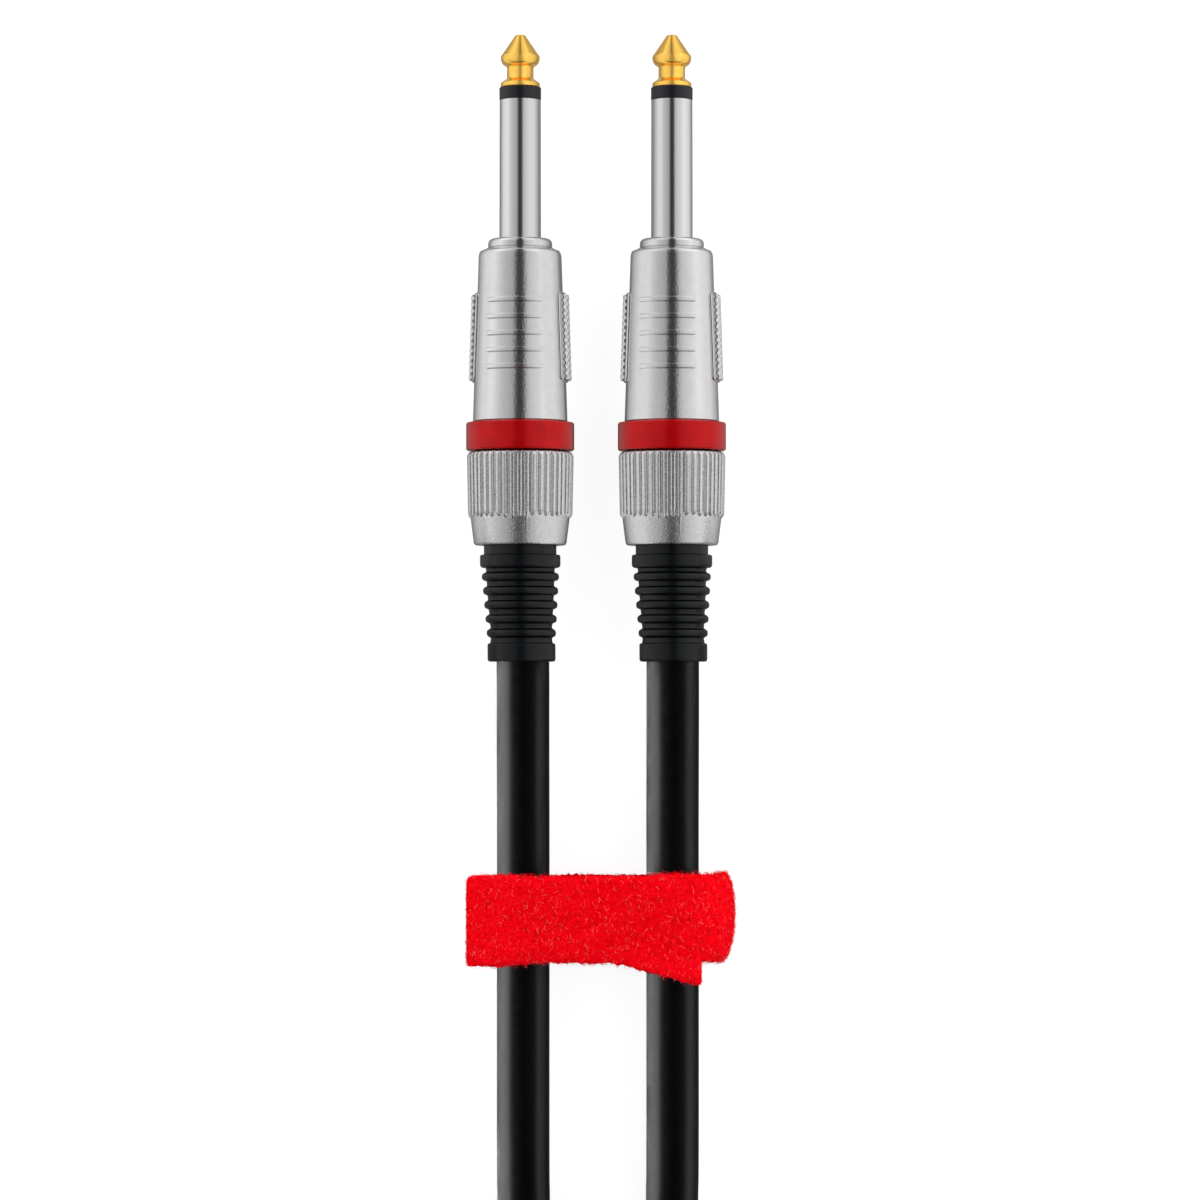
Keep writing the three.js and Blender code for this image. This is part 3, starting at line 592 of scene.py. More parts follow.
def pad(side, hand, centre):
    """A grip pad: a smooth lip, a groove inside it and a field of rounded studs."""
    insets = [0, 0, 0.05, 0.1, 0.18, 0.28, 0.38, 0.46, 0.54, 0.62, 0.7, 0.75, 0.8, 0.85, 0.9]
    insets = np.array(insets + list(np.arange(1.0, 2.76, 0.1))) * MM
    rings = pad_rings(insets)
    inset = insets[:, None]
    height = np.interp(inset / MM, *zip(*PAD_PROFILE)) * MM
    height[0] = -0.4 * MM
    across, along = rings[..., 0], rings[..., 1]
    row = np.floor(across / STUD_WIDTH)
    ahead = (along / STUD_LENGTH + 0.5 * (row % 2)) % 1 - 0.5
    aside = (across / STUD_WIDTH) % 1 - 0.5
    stud = STUD_HEIGHT * (np.clip(1 - (ahead ** 2 + aside ** 2) / 0.3, 0, 1) - 0.5)
    height = height + stud * smooth_step((inset - 0.75 * MM) / (0.1 * MM))
    station = shell_front - PAD_FRONT - PAD_LENGTH / 2 + along
    wall = shell_radius(station)
    points = about_axis(side, centre + across / wall, station, wall + height)
    faces = grid_faces(len(rings), rings.shape[1], False, True)
    obj = mesh_object(f"{side}_{hand}_grip_pad", points, faces, look["satin_nickel"], crease=60)
    return dressed(obj, "root", "satin_nickel")


# -------- ring, nut and boot


def colour_ring(side):
    """The plain red ring between shell and nut."""
    bore = 6.9 * MM
    outline = rounded([
        (bore, ring_low[1], 0.15 * MM),
        (ring_radius, ring_low[1], 0.35 * MM),
        (ring_radius, ring_high[1], 0.35 * MM),
        (bore, ring_high[1], 0.15 * MM),
    ])
    obj = revolved(f"{side}_ring", side, outline, look["red_plastic"], turns=128)
    return dressed(obj, f"{side}_colour_ring", "red_plastic", f"{side}_colour_ring")


RIBS = 44
RIB_LENGTH = 9.85 * MM
RIB_HALF_WIDTH = 0.45 * MM
RIB_HEIGHT = 0.4 * MM
RIB_FRONT_RADIUS, RIB_BACK_RADIUS = mm(8.1, 7.9)
SKIRT_RADIUS, SKIRT_END_RADIUS = mm(7.5, 7.0)


def nut_relief(angle, station, radius):
    """Ribs along the grip with round back ends, each a little unlike the next, as cast ribs are."""
    pitch = TURN / RIBS
    count = np.round(angle / pitch).astype(int) % RIBS
    draw = np.random.default_rng(7)
    width, height, shift, reach = (draw.normal(1, spread, RIBS)[count] for spread in (0.1, 0.1, 1.0, 0.25))
    across = np.abs(off_middle(angle, np.round(angle / pitch) * pitch) * radius - (shift - 1) * 0.04 * MM)
    half = RIB_HALF_WIDTH * width
    back = nut_high[1] - RIB_LENGTH + half + 0.5 * MM * reach
    beyond = np.maximum(back - station, 0) * half / (half + 0.6 * MM)
    rib = np.clip(1 - (np.hypot(across, beyond) / half) ** 4, 0, 1) ** 0.8
    ahead = np.clip(nut_high[1] - station, 0, None)
    rib = np.minimum(rib * height, 0.15 + ahead / (0.8 * MM))
    grip = (station > nut_high[1] - RIB_LENGTH - 0.3 * MM) & (radius > SKIRT_RADIUS - 0.3 * MM)
    return np.where(grip, RIB_HEIGHT * rib, 0)


def back_nut(side):
    """The ribbed nut with its smooth skirt."""
    grip_back = nut_high[1] - RIB_LENGTH
    bore, opening, shoulder = 6.9 * MM, 5.8 * MM, nut_low[1] + 5.4 * MM
    rim = SKIRT_END_RADIUS
    end = bend((rim - 0.55 * MM, nut_low[1]), (rim - 0.2 * MM, nut_low[1]),
               (rim, nut_low[1] + 0.15 * MM), (rim + 0.05 * MM, nut_low[1] + 0.5 * MM), 7)
    stations = np.arange(grip_back - 0.25 * MM, nut_high[1] - 0.1 * MM, 0.12 * MM)
    floor_radius = np.interp(
        stations, [grip_back, nut_high[1]], [RIB_BACK_RADIUS - RIB_HEIGHT, RIB_FRONT_RADIUS - RIB_HEIGHT]
    )
    step = smooth_step((stations - grip_back + 0.1 * MM) / (0.35 * MM))
    grip = [(SKIRT_RADIUS + (r - SKIRT_RADIUS) * s, y) for r, s, y in zip(floor_radius, step, stations)]
    outline = [
        (opening, nut_low[1]),
        *end,
        (SKIRT_RADIUS - 0.03 * MM, grip_back - 0.5 * MM),
        *grip,
        (RIB_FRONT_RADIUS - RIB_HEIGHT - 0.35 * MM, nut_high[1]),
        (bore, nut_high[1]),
        (bore, shoulder),
        (opening, shoulder),
    ]
    obj = revolved(f"{side}_nut", side, outline, look["coarse_nickel"], RIBS * 16, nut_relief, crease=50)
    return dressed(obj, f"{side}_back_nut", "satin_nickel", f"{side}_back_nut")


def boot(side):
    """The ribbed strain relief: neck, collar, five round ribs and an end band."""
    bore, neck, flange, band, collar = mm(4.3, 5.5, 6.6, 5.15, 6.1)
    back, front = boot_low[1], boot_high[1]
    collar_front, collar_back = nut_low[1] - 1.4 * MM, nut_low[1] - 3.4 * MM
    band_front, flange_back = back + 2.8 * MM, front - 1.2 * MM
    outline = [
        (bore, back, 0.2 * MM),
        (band, back, 0.4 * MM),
        (band, band_front, 0.3 * MM),
        (band - 0.4 * MM, band_front, 0.15 * MM),
    ]
    ribs, first, pitch, half_width = 5, 4.75 * MM, 2.13 * MM, 0.6 * MM
    front_crest, back_crest = 5.85, 5.25
    for k in reversed(range(ribs)):
        centre = nut_low[1] - first - k * pitch
        share = k / (ribs - 1)
        crest = (front_crest * (1 - share) + back_crest * share) * MM
        groove = crest - (0.62 if k else 0.7) * MM
        outline += [
            (groove - 0.02 * MM, centre - half_width, 0.28 * MM),
            (crest, centre - half_width, 0.5 * MM),
            (crest, centre + half_width, 0.5 * MM),
            (groove, centre + half_width, 0.28 * MM),
        ]
    outline += [
        (neck - 0.25 * MM, collar_back, 0.25 * MM),
        (collar, collar_back, 0.5 * MM),
        (collar, collar_front, 0.3 * MM),
        (neck, collar_front, 0.12 * MM),
        (neck, flange_back, 0),
        (flange, flange_back, 0),
        (flange, front, 0),
        (bore, front, 0),
    ]
    outline = rounded(outline, steps=5, guard=0.03 * MM)
    obj = revolved(f"{side}_strain_relief", side, outline, look["boot_rubber"], crease=50, lean=BOOT_LEAN)
    return dressed(obj, f"{side}_boot", "boot_rubber", f"{side}_boot")


# -------- cord

CORD_RADIUS = 4.0 * MM
FLOOR_LEVEL = 4.1 * MM

# A lead's centre line from the chuck to the hank, as (y, z)
LEAD_ROUTE = [
    (0.0688, 0.0082), (0.056, 0.0082), (0.045, 0.0082), (0.037, 0.0082), (0.030, 0.0080),
    (0.022, 0.0069), (0.015, 0.0059), (0.009, 0.0058), (0.000, 0.0058), (-0.012, 0.0058),
    (-0.024, 0.0058), (-0.031, 0.00565), (-0.038, 0.0047),
]

HANK_LEVELS = 5
LEVEL_PITCH = 8.0 * MM
OUTER_LANE = hank_high[0] - CORD_RADIUS
INNER_LANE = OUTER_LANE - 2 * CORD_RADIUS
NEAR_CENTRE = hank_high[1] - hank_high[0]
FAR_CENTRE = hank_low[1] + hank_high[0]
TIE_MIDDLE = (tie_low[1] + tie_high[1]) / 2
TIE_LIFT = hank_high[2] - HANK_LEVELS * LEVEL_PITCH
TIE_FLAT = (tie_high[1] - tie_low[1]) / 2 + 0.3 * MM
TIE_FOOT = 12.0 * MM


def ease(t):
    """From 0 to 1 along half a cosine, which bends least."""
    return (1 - math.cos(math.pi * min(max(t, 0), 1))) / 2


def level_height(level, y):
    """The height of a turn's centre line: it rises a little over the tie."""
    off = abs(y - TIE_MIDDLE) - TIE_FLAT
    return FLOOR_LEVEL + (level - 1) * LEVEL_PITCH + TIE_LIFT * (1 - ease(off / TIE_FOOT))


def straight(x, level, start, end, move=None, aside=0, up=0, count=8):
    """Points of one straight turn along Y. It may move aside, and up some levels, between two places."""
    points = []
    for k in range(count + 1):
        y = start + (end - start) * k / count
        share = ease((y - move[0]) / (move[1] - move[0])) if move else 0
        points.append((x + aside * share, y, level_height(level + up * share, y)))
    return points


def fold(lane, level, centre, first, count=9):
    """Points round one end of the hank, without its two ends: from x = first * lane to the other side."""
    away = 1 if centre == NEAR_CENTRE else -1
    points = []
    for k in range(1, count):
        angle = math.pi * k / count
        y = centre + away * lane * math.sin(angle)
        points.append((first * lane * math.cos(angle), y, level_height(level, y)))
    return points


def hank_route():
    """Inner turns upward from the left lead, then outer turns down to the right lead."""
    rise = (FAR_CENTRE + 8.5 * MM, FAR_CENTRE + 42.5 * MM)
    widen = (FAR_CENTRE, FAR_CENTRE + 34 * MM)
    sink = (NEAR_CENTRE - 1.5 * MM, NEAR_CENTRE - 35.5 * MM)
    into, out = (-45 * MM, -87 * MM), (-98 * MM, -45 * MM)
    inner, outer = INNER_LANE, OUTER_LANE
    left, right = -plug_x + LEFT_LEAN, plug_x + RIGHT_LEAN
    points = straight(left, 1, *into, into, -inner - left)
    start = into[1] - 6 * MM
    for level in range(1, HANK_LEVELS + 1):
        points += straight(-inner, level, start, FAR_CENTRE)
        points += fold(inner, level, FAR_CENTRE, -1)
        start = NEAR_CENTRE
        if level < HANK_LEVELS:
            points += straight(inner, level, FAR_CENTRE, NEAR_CENTRE, rise, up=1)
            points += fold(inner, level + 1, NEAR_CENTRE, 1)
    points += straight(inner, HANK_LEVELS, FAR_CENTRE, NEAR_CENTRE, widen, outer - inner)
    for level in range(HANK_LEVELS, 1, -1):
        points += fold(outer, level, NEAR_CENTRE, 1)
        points += straight(-outer, level, NEAR_CENTRE, FAR_CENTRE, sink, up=-1)
        points += fold(outer, level - 1, FAR_CENTRE, -1)
        if level > 2:
            points += straight(outer, level - 1, FAR_CENTRE, NEAR_CENTRE)
    points += straight(outer, 1, FAR_CENTRE, out[0] - 5 * MM)
    return points + straight(outer, 1, *out, out, right - outer)


def cord():
    """The whole cord as one curve, from plug to plug."""
    left = [(-plug_x + leaning(y, LEFT_LEAN), y, z) for y, z in LEAD_ROUTE]
    right = [(plug_x + leaning(y, RIGHT_LEAN), y, z) for y, z in reversed(LEAD_ROUTE)]
    points = left + hank_route() + right
    curve = bpy.data.curves.new("cord", "CURVE")
    curve.dimensions = "3D"
    curve.bevel_depth = CORD_RADIUS
    curve.bevel_resolution = 12
    curve.resolution_u = 5
    curve.use_fill_caps = True
    spline = curve.splines.new("BEZIER")
    spline.bezier_points.add(len(points) - 1)
    for knot, point in zip(spline.bezier_points, points):
        knot.co = point
        knot.handle_left_type = knot.handle_right_type = "AUTO"
    curve.materials.append(look["jacket"])
    obj = linked("cord", curve)
    return dressed(obj, "root", "jacket", "left_cord_lead", "right_cord_lead", "cord_hank")


# -------- fabric

# Where the strap's right fold is drawn in: its middle and half width along Y, and its run along X
BOW_MIDDLE, BOW_HALF_WIDTH = mm(1.2, 6.5)
BOW_START, BOW_RUN = mm(13, 7)


def sweep_path(points, step):
    """A path in (x, z) cut at even steps: how far along each is, its place and its unit tangent."""
    points = np.array(points)
    along = distances(points)
    count = max(int(along[-1] / step), 2)
    at = np.linspace(0, along[-1], count + 1)
    places = np.stack([np.interp(at, along, points[:, k]) for k in (0, 1)], -1)
    return at, places, unit(np.gradient(places, axis=0))


def arc(centre, radius, start, end, count=24):
    """Points (x, z) on an arc, with angles in degrees from +x towards +z."""
    angles = np.radians(np.linspace(start, end, count))
    return [(centre[0] + radius * math.cos(a), centre[1] + radius * math.sin(a)) for a in angles]


def lumps(points, size, seed):
    """Smooth noise from -1 to 1 at many points."""
    moved = points / size + seed
    return np.array([noise.noise(Vector(p)) for p in moved.reshape(-1, 3)]).reshape(points.shape[:-1])


def bow(points):
    """How far the right fold is drawn in towards its edges."""
    off = (points[..., 1] - BOW_MIDDLE) / BOW_HALF_WIDTH
    return MM * (off ** 2 * smooth_step((points[..., 0] - BOW_START) / BOW_RUN))


def ribbon(name, path, edges, thickness, material, step=0.22 * MM, rough=0.12 * MM,
           round_ends=(False, False), bowed_to=0):
    """A soft strip whose width lies along Y. path is its middle surface in (x, z), and edges(along,
    length, x) gives its low and high edge. Its sides, and its ends if asked, are rounded. It is
    drawn in at the right fold as far along as bowed_to."""
    at, places, tangents = sweep_path(path, step)
    low, high = edges(at, at[-1], places[:, 0])
    middle, reach = ((low + high) / 2)[:, None], ((high - low) / 2)[:, None]
    columns = int((high - low).max() / step)
    across = -np.cos(np.linspace(0, math.pi, columns)) * 0.35 + np.linspace(-1, 1, columns) * 0.65
    half = thickness / 2 * (1 - np.abs(across) ** 10) ** 0.5
    ends = np.ones(len(at))
    for is_round, distance in zip(round_ends, (at, at[-1] - at)):
        if is_round:
            short = np.clip(1 - distance / (thickness / 2), 0, 1)
            ends = np.minimum(ends, np.sqrt(np.clip(1 - short ** 2, 0.0, 1)))
    normals = np.stack([tangents[:, 1], -tangents[:, 0]], -1)
    y = middle + reach * across[None, :]

    def layer(sign):
        height = sign * half[None, :] * ends[:, None]
        x = places[:, :1] + normals[:, :1] * height
        return np.stack([x, y, places[:, 1:] + normals[:, 1:] * height], -1)

    loop = np.concatenate([layer(-1)[:, ::-1], layer(1)[:, 1:-1]], 1)
    normal = np.zeros_like(loop)
    normal[..., 0], normal[..., 2] = normals[:, :1], normals[:, 1:]
    side = np.where(np.arange(loop.shape[1]) < columns, -1, 1)
    shake = lumps(loop, 1.1 * MM, 3.0) + 0.6 * lumps(loop, 0.45 * MM, 11.0)
    loop = loop + normal * (side[None, :] * shake * rough)[..., None]
    rim = smooth_step((np.abs(loop[..., 1] - middle) / reach - 0.85) / 0.12)
    loop[..., 1] += lumps(loop, 0.6 * MM, 21.0) * rough * 2.9 * rim
    loop[..., 0] -= bow(loop) * (at < bowed_to)[:, None]
    rows, around = loop.shape[:2]
    faces = grid_faces(rows, around, False, True) + end_faces(rows, around)
    return mesh_object(name, loop, faces, material)


FIBRE_REACH, FIBRE_RISE, FIBRE_RADIUS = mm(0.6, 0.25, 0.022)
FIBRE_KNOTS, FIBRE_SIDES = 6, 3


def fuzz(name, obj, count, seed, keep=None):
    """Looped fibres over a ribbon: each leaves the surface, runs along it in a curl and dips back.
    keep(places) is how thickly they stand there."""
    quads = [p for p in obj.data.polygons if len(p.vertices) == 4]
    centres = np.array([p.center for p in quads])
    normals = np.array([p.normal for p in quads])
    areas = np.array([p.area for p in quads])
    if keep is not None:
        areas = areas * keep(centres)
    draw = np.random.default_rng(seed)
    chosen = draw.choice(len(areas), count, p=areas / areas.sum())
    root, normal = centres[chosen], normals[chosen]
    heading = draw.normal(size=(count, 3)) * (0.3, 1.0, 0.3)
    heading = unit(heading - (heading * normal).sum(1)[:, None] * normal)
    aside = np.cross(normal, heading)
    length = FIBRE_REACH * draw.uniform(0.5, 1.5, count)
    height = FIBRE_RISE * draw.uniform(0.3, 1.6, count)
    curl = draw.uniform(-0.3, 0.3, count) * length
    t = np.linspace(0, 1, FIBRE_KNOTS)
    line = (
        root[:, None]
        + heading[:, None] * (length[:, None] * t)[..., None]
        + normal[:, None] * (height[:, None] * np.sin(math.pi * t) - 0.05 * MM)[..., None]
        + aside[:, None] * (curl[:, None] * np.sin(1.5 * math.pi * t))[..., None]
    )
    forward = unit(np.gradient(line, axis=1))
    first = unit(np.cross(forward, normal[:, None] + 0.01))
    second = np.cross(forward, first)
    angle = np.arange(FIBRE_SIDES) / FIBRE_SIDES * TURN
    thick = FIBRE_RADIUS * draw.uniform(0.7, 1.3, count)[:, None, None, None]
    ring = first[:, :, None] * np.cos(angle)[:, None] + second[:, :, None] * np.sin(angle)[:, None]
    one = np.array(grid_faces(FIBRE_KNOTS, FIBRE_SIDES, False, True))
    offsets = np.arange(count) * FIBRE_KNOTS * FIBRE_SIDES
    faces = (one[None] + offsets[:, None, None]).reshape(-1, 4).tolist()
    return mesh_object(name, line[:, :, None] + ring * thick, faces, look["strap_fibre"])


STRAP_THICKNESS = 1.5 * MM
STRAP_HALF_WIDTH = (flap_high[1] - flap_low[1]) / 2
STRAP_SHIFT = 0.4 * MM
STRAP_CORNER = 0.9 * MM
FLAP_LEVEL = flap_high[2] - STRAP_THICKNESS / 2
TAIL_LEVEL = wrap_high[2] - STRAP_THICKNESS / 2
BOTTOM_LEVEL = STRAP_THICKNESS / 2
FOLD_RADIUS = (FLAP_LEVEL - BOTTOM_LEVEL) / 2
FOLD_CENTRE = (wrap_high[0] - STRAP_THICKNESS / 2 - FOLD_RADIUS, (FLAP_LEVEL + BOTTOM_LEVEL) / 2)
LAYERS_MEET = -4  # degrees on the right fold


def waver(values, *place):
    """A slow wave along an edge, from -1 to 1."""
    return np.array([noise.noise(Vector((v / (3 * MM), *place))) for v in values])


def rounded_corner(distance):
    """How far an edge is drawn in at a distance from the strap's end."""
    short = np.clip(STRAP_CORNER - distance, 0, STRAP_CORNER)
    return STRAP_CORNER - np.sqrt(STRAP_CORNER ** 2 - short ** 2)


def strap_edges(along, length, x):
    """The outer layer's low and high edges: a little wavy, with a step up at the right."""
    flutter = waver(x, 1.7, 0.3) * 0.2 * MM
    step = smooth_step((x - 8.0 * MM) / (0.5 * MM)) * 0.3 * MM
    drop = smooth_step((-8 * MM - x) / (8 * MM))
    corner = rounded_corner(along)
    low = STRAP_SHIFT - STRAP_HALF_WIDTH + 0.4 * MM - flutter - 0.6 * MM * drop + corner
    high = STRAP_SHIFT + STRAP_HALF_WIDTH - 0.1 * MM + step + 0.15 * MM * drop + 0.4 * flutter - corner
    return low, high


def strap_outer():
    """The outer layer with the upper half of the right fold, from the free end at the left."""
    path = [(flap_low[0] + 0.1 * MM, FLAP_LEVEL), *arc(FOLD_CENTRE, FOLD_RADIUS, 90, LAYERS_MEET)]
    return ribbon("strap_outer", path, strap_edges, STRAP_THICKNESS, look["strap_pile"],
                  round_ends=(True, False), bowed_to=math.inf)


def strap_inner():
    """The rest of the strap: under both cords, round the left one and back as the sloping tail."""
    left_radius = (TAIL_LEVEL - BOTTOM_LEVEL) / 2
    left_centre = (wrap_low[0] + left_radius + STRAP_THICKNESS / 2, (TAIL_LEVEL + BOTTOM_LEVEL) / 2)
    slope_start, tail_end, tail_drop = 2 * MM, plug_x + 4.4 * MM, 3.7 * MM
    path = [
        *arc(FOLD_CENTRE, FOLD_RADIUS, LAYERS_MEET, -90),
        *arc(left_centre, left_radius, 270, 90),
        (tail_end, TAIL_LEVEL),
    ]

    def edges(along, length, x):
        on_top = along > length - (tail_end - left_centre[0])
        share = np.clip((x - slope_start) / (tail_end - slope_start), 0, 1)
        drop = tail_drop * share ** 1.15 * on_top
        flutter = waver(along, 5.7, 2.3) * 0.15 * MM
        half = STRAP_HALF_WIDTH - 0.45 * MM - rounded_corner(length - along)
        return STRAP_SHIFT - half - drop + flutter, STRAP_SHIFT + half - drop + flutter

    return ribbon("strap_inner", path, edges, STRAP_THICKNESS, look["strap_pile"],
                  round_ends=(False, True), bowed_to=30 * MM)


def strap():
    """Both layers with their fibres. The outer one bends at the right fold."""
    outer, inner = strap_outer(), strap_inner()
    fibres = fuzz("strap_outer_fibres", outer, 11000, 5, lambda places: 0.15 + (places[:, 2] > 6 * MM))
    for obj in (outer, fibres):
        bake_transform(obj)
    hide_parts("strap_flap")
    dressed(inner, "strap", "strap_fabric", "strap_wrap")
    inner_fibres = fuzz("strap_inner_fibres", inner, 6000, 9)
    dressed(inner_fibres, "strap", "strap_fabric")


def hank_tie():
    """The band round the hank, its two ends meeting on top."""
    thickness = 1.5 * MM
    half, top, bottom = tie_high[0] - thickness / 2, tie_high[2] - thickness / 2, tie_low[2] + thickness / 2
    corner = 3.6 * MM
    path = [(-10 * MM, top)]
    for x, z, start in ((-1, 1, 90), (-1, -1, 180), (1, -1, 270), (1, 1, 360)):
        level = (top - corner) if z > 0 else (bottom + corner)
        path += arc((x * (half - corner), level), corner, start, start + 90, 9)
    path += [(-10 * MM, top)]
    edge = (tie_high[1] - tie_low[1]) / 2 - 0.2 * MM

    def edges(along, length, x):
        return np.full(len(along), TIE_MIDDLE - edge), np.full(len(along), TIE_MIDDLE + edge)

    band = ribbon("hank_band", path, edges, thickness * 0.8, look["tie_tape"], 0.6 * MM, 0.02 * MM)
    return dressed(band, "root", "tie_fabric", "hank_tie")


# -------- studio

# How bright metal sees the floor, by distance from the nearer plug's axis as a share of UNDER_REACH: a
# painted shadow, darker close to the plugs
PAINTED_SHADOW_UNDER_PLUGS = [(0, 0.35), (0.15, 0.35), (0.21, 0.1), (0.31, 0.1), (0.39, 0.35), (0.6, 0.7), (1, 1)]
UNDER_REACH = 40 * MM
UNDER_BRIGHTNESS = 0.62
CAMERA_GLOW = 0.87  # what makes the floor white to the camera


def floor():
    """A white floor that keeps a faint shadow. Metal sees it as bright beside the plugs, with a painted
    shadow in that glow close to them.
    """
    size, below = 2.0, -0.1 * MM
    points = [(-size, -size, below), (size, -size, below), (size, size, below), (-size, size, below)]
    material = finish("floor", (0.3, 0.3, 0.3), 0.9)
    tree = material.node_tree
    place = node(tree, "SeparateXYZ", {"Vector": node(tree, "TexCoord")["Object"]})
    rays = node(tree, "LightPath")
    off = computed(tree, "SUBTRACT", computed(tree, "ABSOLUTE", place["X"]), plug_x)
    off = computed(tree, "DIVIDE", computed(tree, "ABSOLUTE", off), UNDER_REACH)
    # painted shadow: the glow that metal sees is darker close to the plugs
    shade = ramp(material, off, [(at, [bright] * 3) for at, bright in PAINTED_SHADOW_UNDER_PLUGS])
    reach = mapped(tree, place["Y"], boot_low[1], nut_low[1], 0, UNDER_BRIGHTNESS)
    under = computed(tree, "MULTIPLY", reach, shade)
    beside = computed(tree, "MULTIPLY", under, rays["Is Glossy Ray"])
    strength = computed(tree, "MULTIPLY_ADD", rays["Is Camera Ray"], CAMERA_GLOW, beside)
    glow = node(tree, "Emission", {"Strength": strength})["Emission"]
    plain = tree.nodes["Principled BSDF"].outputs["BSDF"]
    added = node(tree, "AddShader", {0: plain, 1: glow})["Shader"]
    feed(tree, tree.nodes["Material Output"].inputs["Surface"], added)
    mesh_object("floor", points, [[0, 1, 2, 3]], material)


# Brightness of the studio by degrees from straight up, towards +X
STUDIO = [
    (-180, 0.5), (-125, 0.5), (-105, 0.66), (-84, 1.08), (-72, 1.05),
    (-58, 0.84), (-44, 0.67), (-28, 0.56), (-16, 0.47), (-10, 0.08),
    (0, 0.045), (10, 0.08), (16, 0.55), (28, 0.76), (45, 0.88),
    (70, 1.12), (84, 1.05), (105, 0.88), (130, 0.75), (180, 0.5),
]
# Share of that brightness by direction along Y, from straight back to straight ahead
STUDIO_ENDS = [(-0.97, 0.25), (-0.76, 0.6), (-0.6, 1), (0.45, 1), (0.62, 1.3), (0.85, 1.25), (1, 0.75)]


def studio():
    """Soft light boxes along both sides with a dark gap overhead, which is wider towards the back.
    The camera sees white."""
    world = bpy.data.worlds.new("studio")
    bpy.context.scene.world = world
    world.use_nodes = True
    tree = world.node_tree
    toward = node(tree, "SeparateXYZ", {"Vector": node(tree, "TexCoord")["Generated"]})
    rays = node(tree, "LightPath")
    turn = computed(tree, "ARCTAN2", toward["X"], toward["Z"])
    turn = computed(tree, "MULTIPLY", turn, mapped(tree, toward["Y"], -0.35, -0.15, 0.7))
    around = [((degrees + 180) / 360, [bright] * 3) for degrees, bright in STUDIO]
    light = ramp(world, mapped(tree, turn, -math.pi, math.pi), around)
    brightest = max(share for _, share in STUDIO_ENDS)
    lengthways = [((y + 1) / 2, [share / brightest] * 3) for y, share in STUDIO_ENDS]
    ends = ramp(world, mapped(tree, toward["Y"], -1, 1), lengthways)
    ends = computed(tree, "MULTIPLY", ends, brightest)
    strength = computed(tree, "MULTIPLY", computed(tree, "ADD", rays["Is Diffuse Ray"], 1.0), ends)
    background = tree.nodes["Background"]
    feed(tree, background.inputs["Color"], light)
    feed(tree, background.inputs["Strength"], strength)
    white = node(tree, "Background", {"Color": (1, 1, 1, 1)})["Background"]
    seen = {"Fac": rays["Is Camera Ray"], 1: background.outputs["Background"], 2: white}
    feed(tree, tree.nodes["World Output"].inputs["Surface"], node(tree, "MixShader", seen)["Shader"])


def card():
    """A bright card that stands between the plugs, so that neither is mirrored in the other."""
    low, high = boot_low[1] - 1 * MM, tip_end + 8 * MM
    foot, full, top = mm(3.2, 12, 18)
    material = finish("card", (0, 0, 0), 1.0)
    tree = material.node_tree
    place = node(tree, "SeparateXYZ", {"Vector": node(tree, "TexCoord")["Object"]})
    bright = mapped(tree, place["Z"], foot, full, 0.3, 0.95)
    glow = node(tree, "Emission", {"Strength": bright})["Emission"]
    feed(tree, tree.nodes["Material Output"].inputs["Surface"], glow)
    points = [(0, low, foot), (0, high, foot), (0, high, top), (0, low, top)]
    obj = mesh_object("card", points, [[0, 1, 2, 3]], material)
    obj.visible_camera = obj.visible_diffuse = obj.visible_shadow = obj.visible_transmission = False


# Degrees from straight up towards -X, from where to where, and the brightness
CORD_LAMPS = {
    "high": (62, 90, 33),
    "level": (90, 108, 26),
    "low": (108, 144, 7),
    "right_high": (-90, -62, 9),
    "right_low": (-112, -90, 3.5),
}
TIP_LAMPS = {"overhead": (-62, 62, 0.3)}


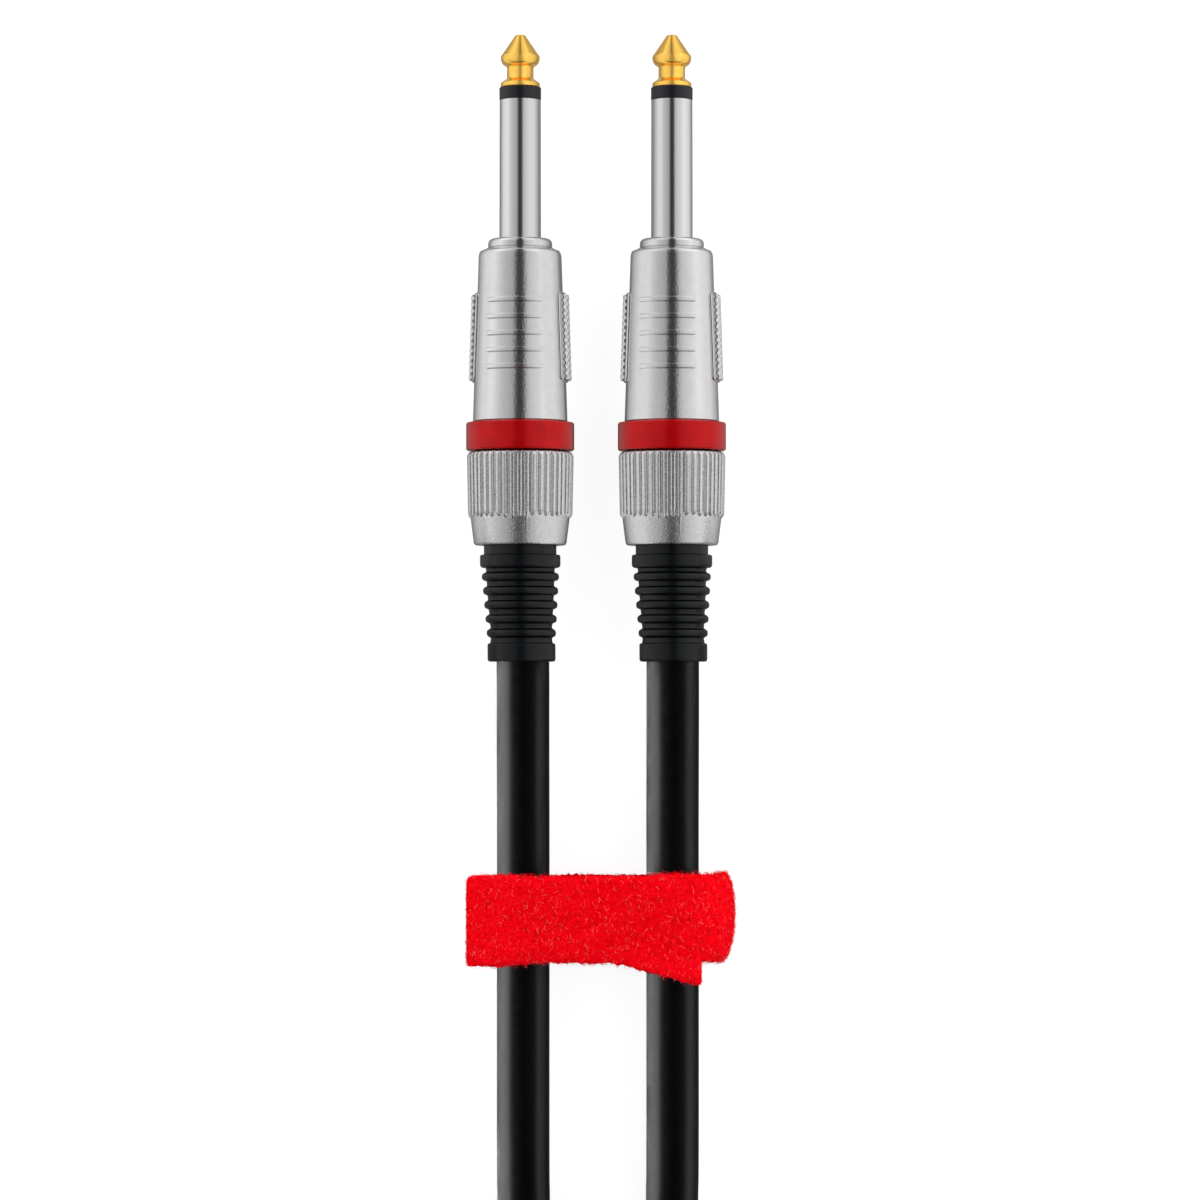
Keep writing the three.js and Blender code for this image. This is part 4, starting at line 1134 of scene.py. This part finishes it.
def lamps(owner, strips, lit):
    """Long soft lamps that shine on the lit pieces alone. The ones below the floor shine through it."""
    away, long = 0.6, 1.6
    receivers = bpy.data.collections.new(f"lit_by_{owner}_lamps")
    for piece in lit:
        receivers.objects.link(piece)
    for name, (start, end, bright) in strips.items():
        turn, spread = math.radians((start + end) / 2), math.radians(end - start)
        data = bpy.data.lights.new(f"{owner}_lamp_{name}", "AREA")
        data.shape = "RECTANGLE"
        data.size = 2 * away * math.tan(spread / 2)
        data.size_y = long
        data.energy = bright * math.pi * data.size * long
        data.use_shadow = False
        data.cycles.use_multiple_importance_sampling = max(abs(start), abs(end)) <= 90
        lamp = linked(data.name, data)
        lamp.location = (-away * math.sin(turn), 0, away * math.cos(turn) + plug_z)
        lamp.rotation_euler.y = -turn
        lamp.visible_camera = False
        lamp.light_linking.receiver_collection = receivers


def camera():
    """Above the boots and leaning a little towards the plugs."""
    data = bpy.data.cameras.new("camera")
    data.sensor_width = 36
    data.lens = 129.5
    data.clip_start = 0.01
    obj = linked("camera", data)
    aside, behind, height, aim = 0.0006, 0.038, 0.662, 0.04865
    obj.location = (aside, behind, height)
    obj.rotation_euler.x = math.atan((aim - behind) / (height - plug_z))
    bpy.context.scene.camera = obj


# -------- the whole

INNER_LOOKS = {
    "rear_insulator": "black_plastic",
    "tip_solder_tag": "tinned",
    "ground_solder_tag": "tinned",
    "shell_liner": "clear_plastic",
    "cord_chuck": "grey_plastic",
    "core_wire": "core_insulation",
    "shield_tail": "copper",
}

bpy.context.scene.view_settings.view_transform = "Standard"
camera()
studio()
floor()
lamps("tip", TIP_LAMPS, [tip(plug_side) for plug_side in SIDES])
for plug_side in SIDES:
    for make in (insulator, sleeve, shell, colour_ring, back_nut, boot):
        make(plug_side)
    pad(plug_side, "right", SHELL_ROLL + math.pi / 2)
    pad(plug_side, "left", SHELL_ROLL - math.pi / 2)
    for inner, surface in INNER_LOOKS.items():
        materials = frame["nodes"][f"{plug_side}_{inner}"].data.materials
        materials.clear()
        materials.append(look[surface])
strap()
whole_cord = cord()
lamps("cord", CORD_LAMPS, [whole_cord])
card()
hank_tie()
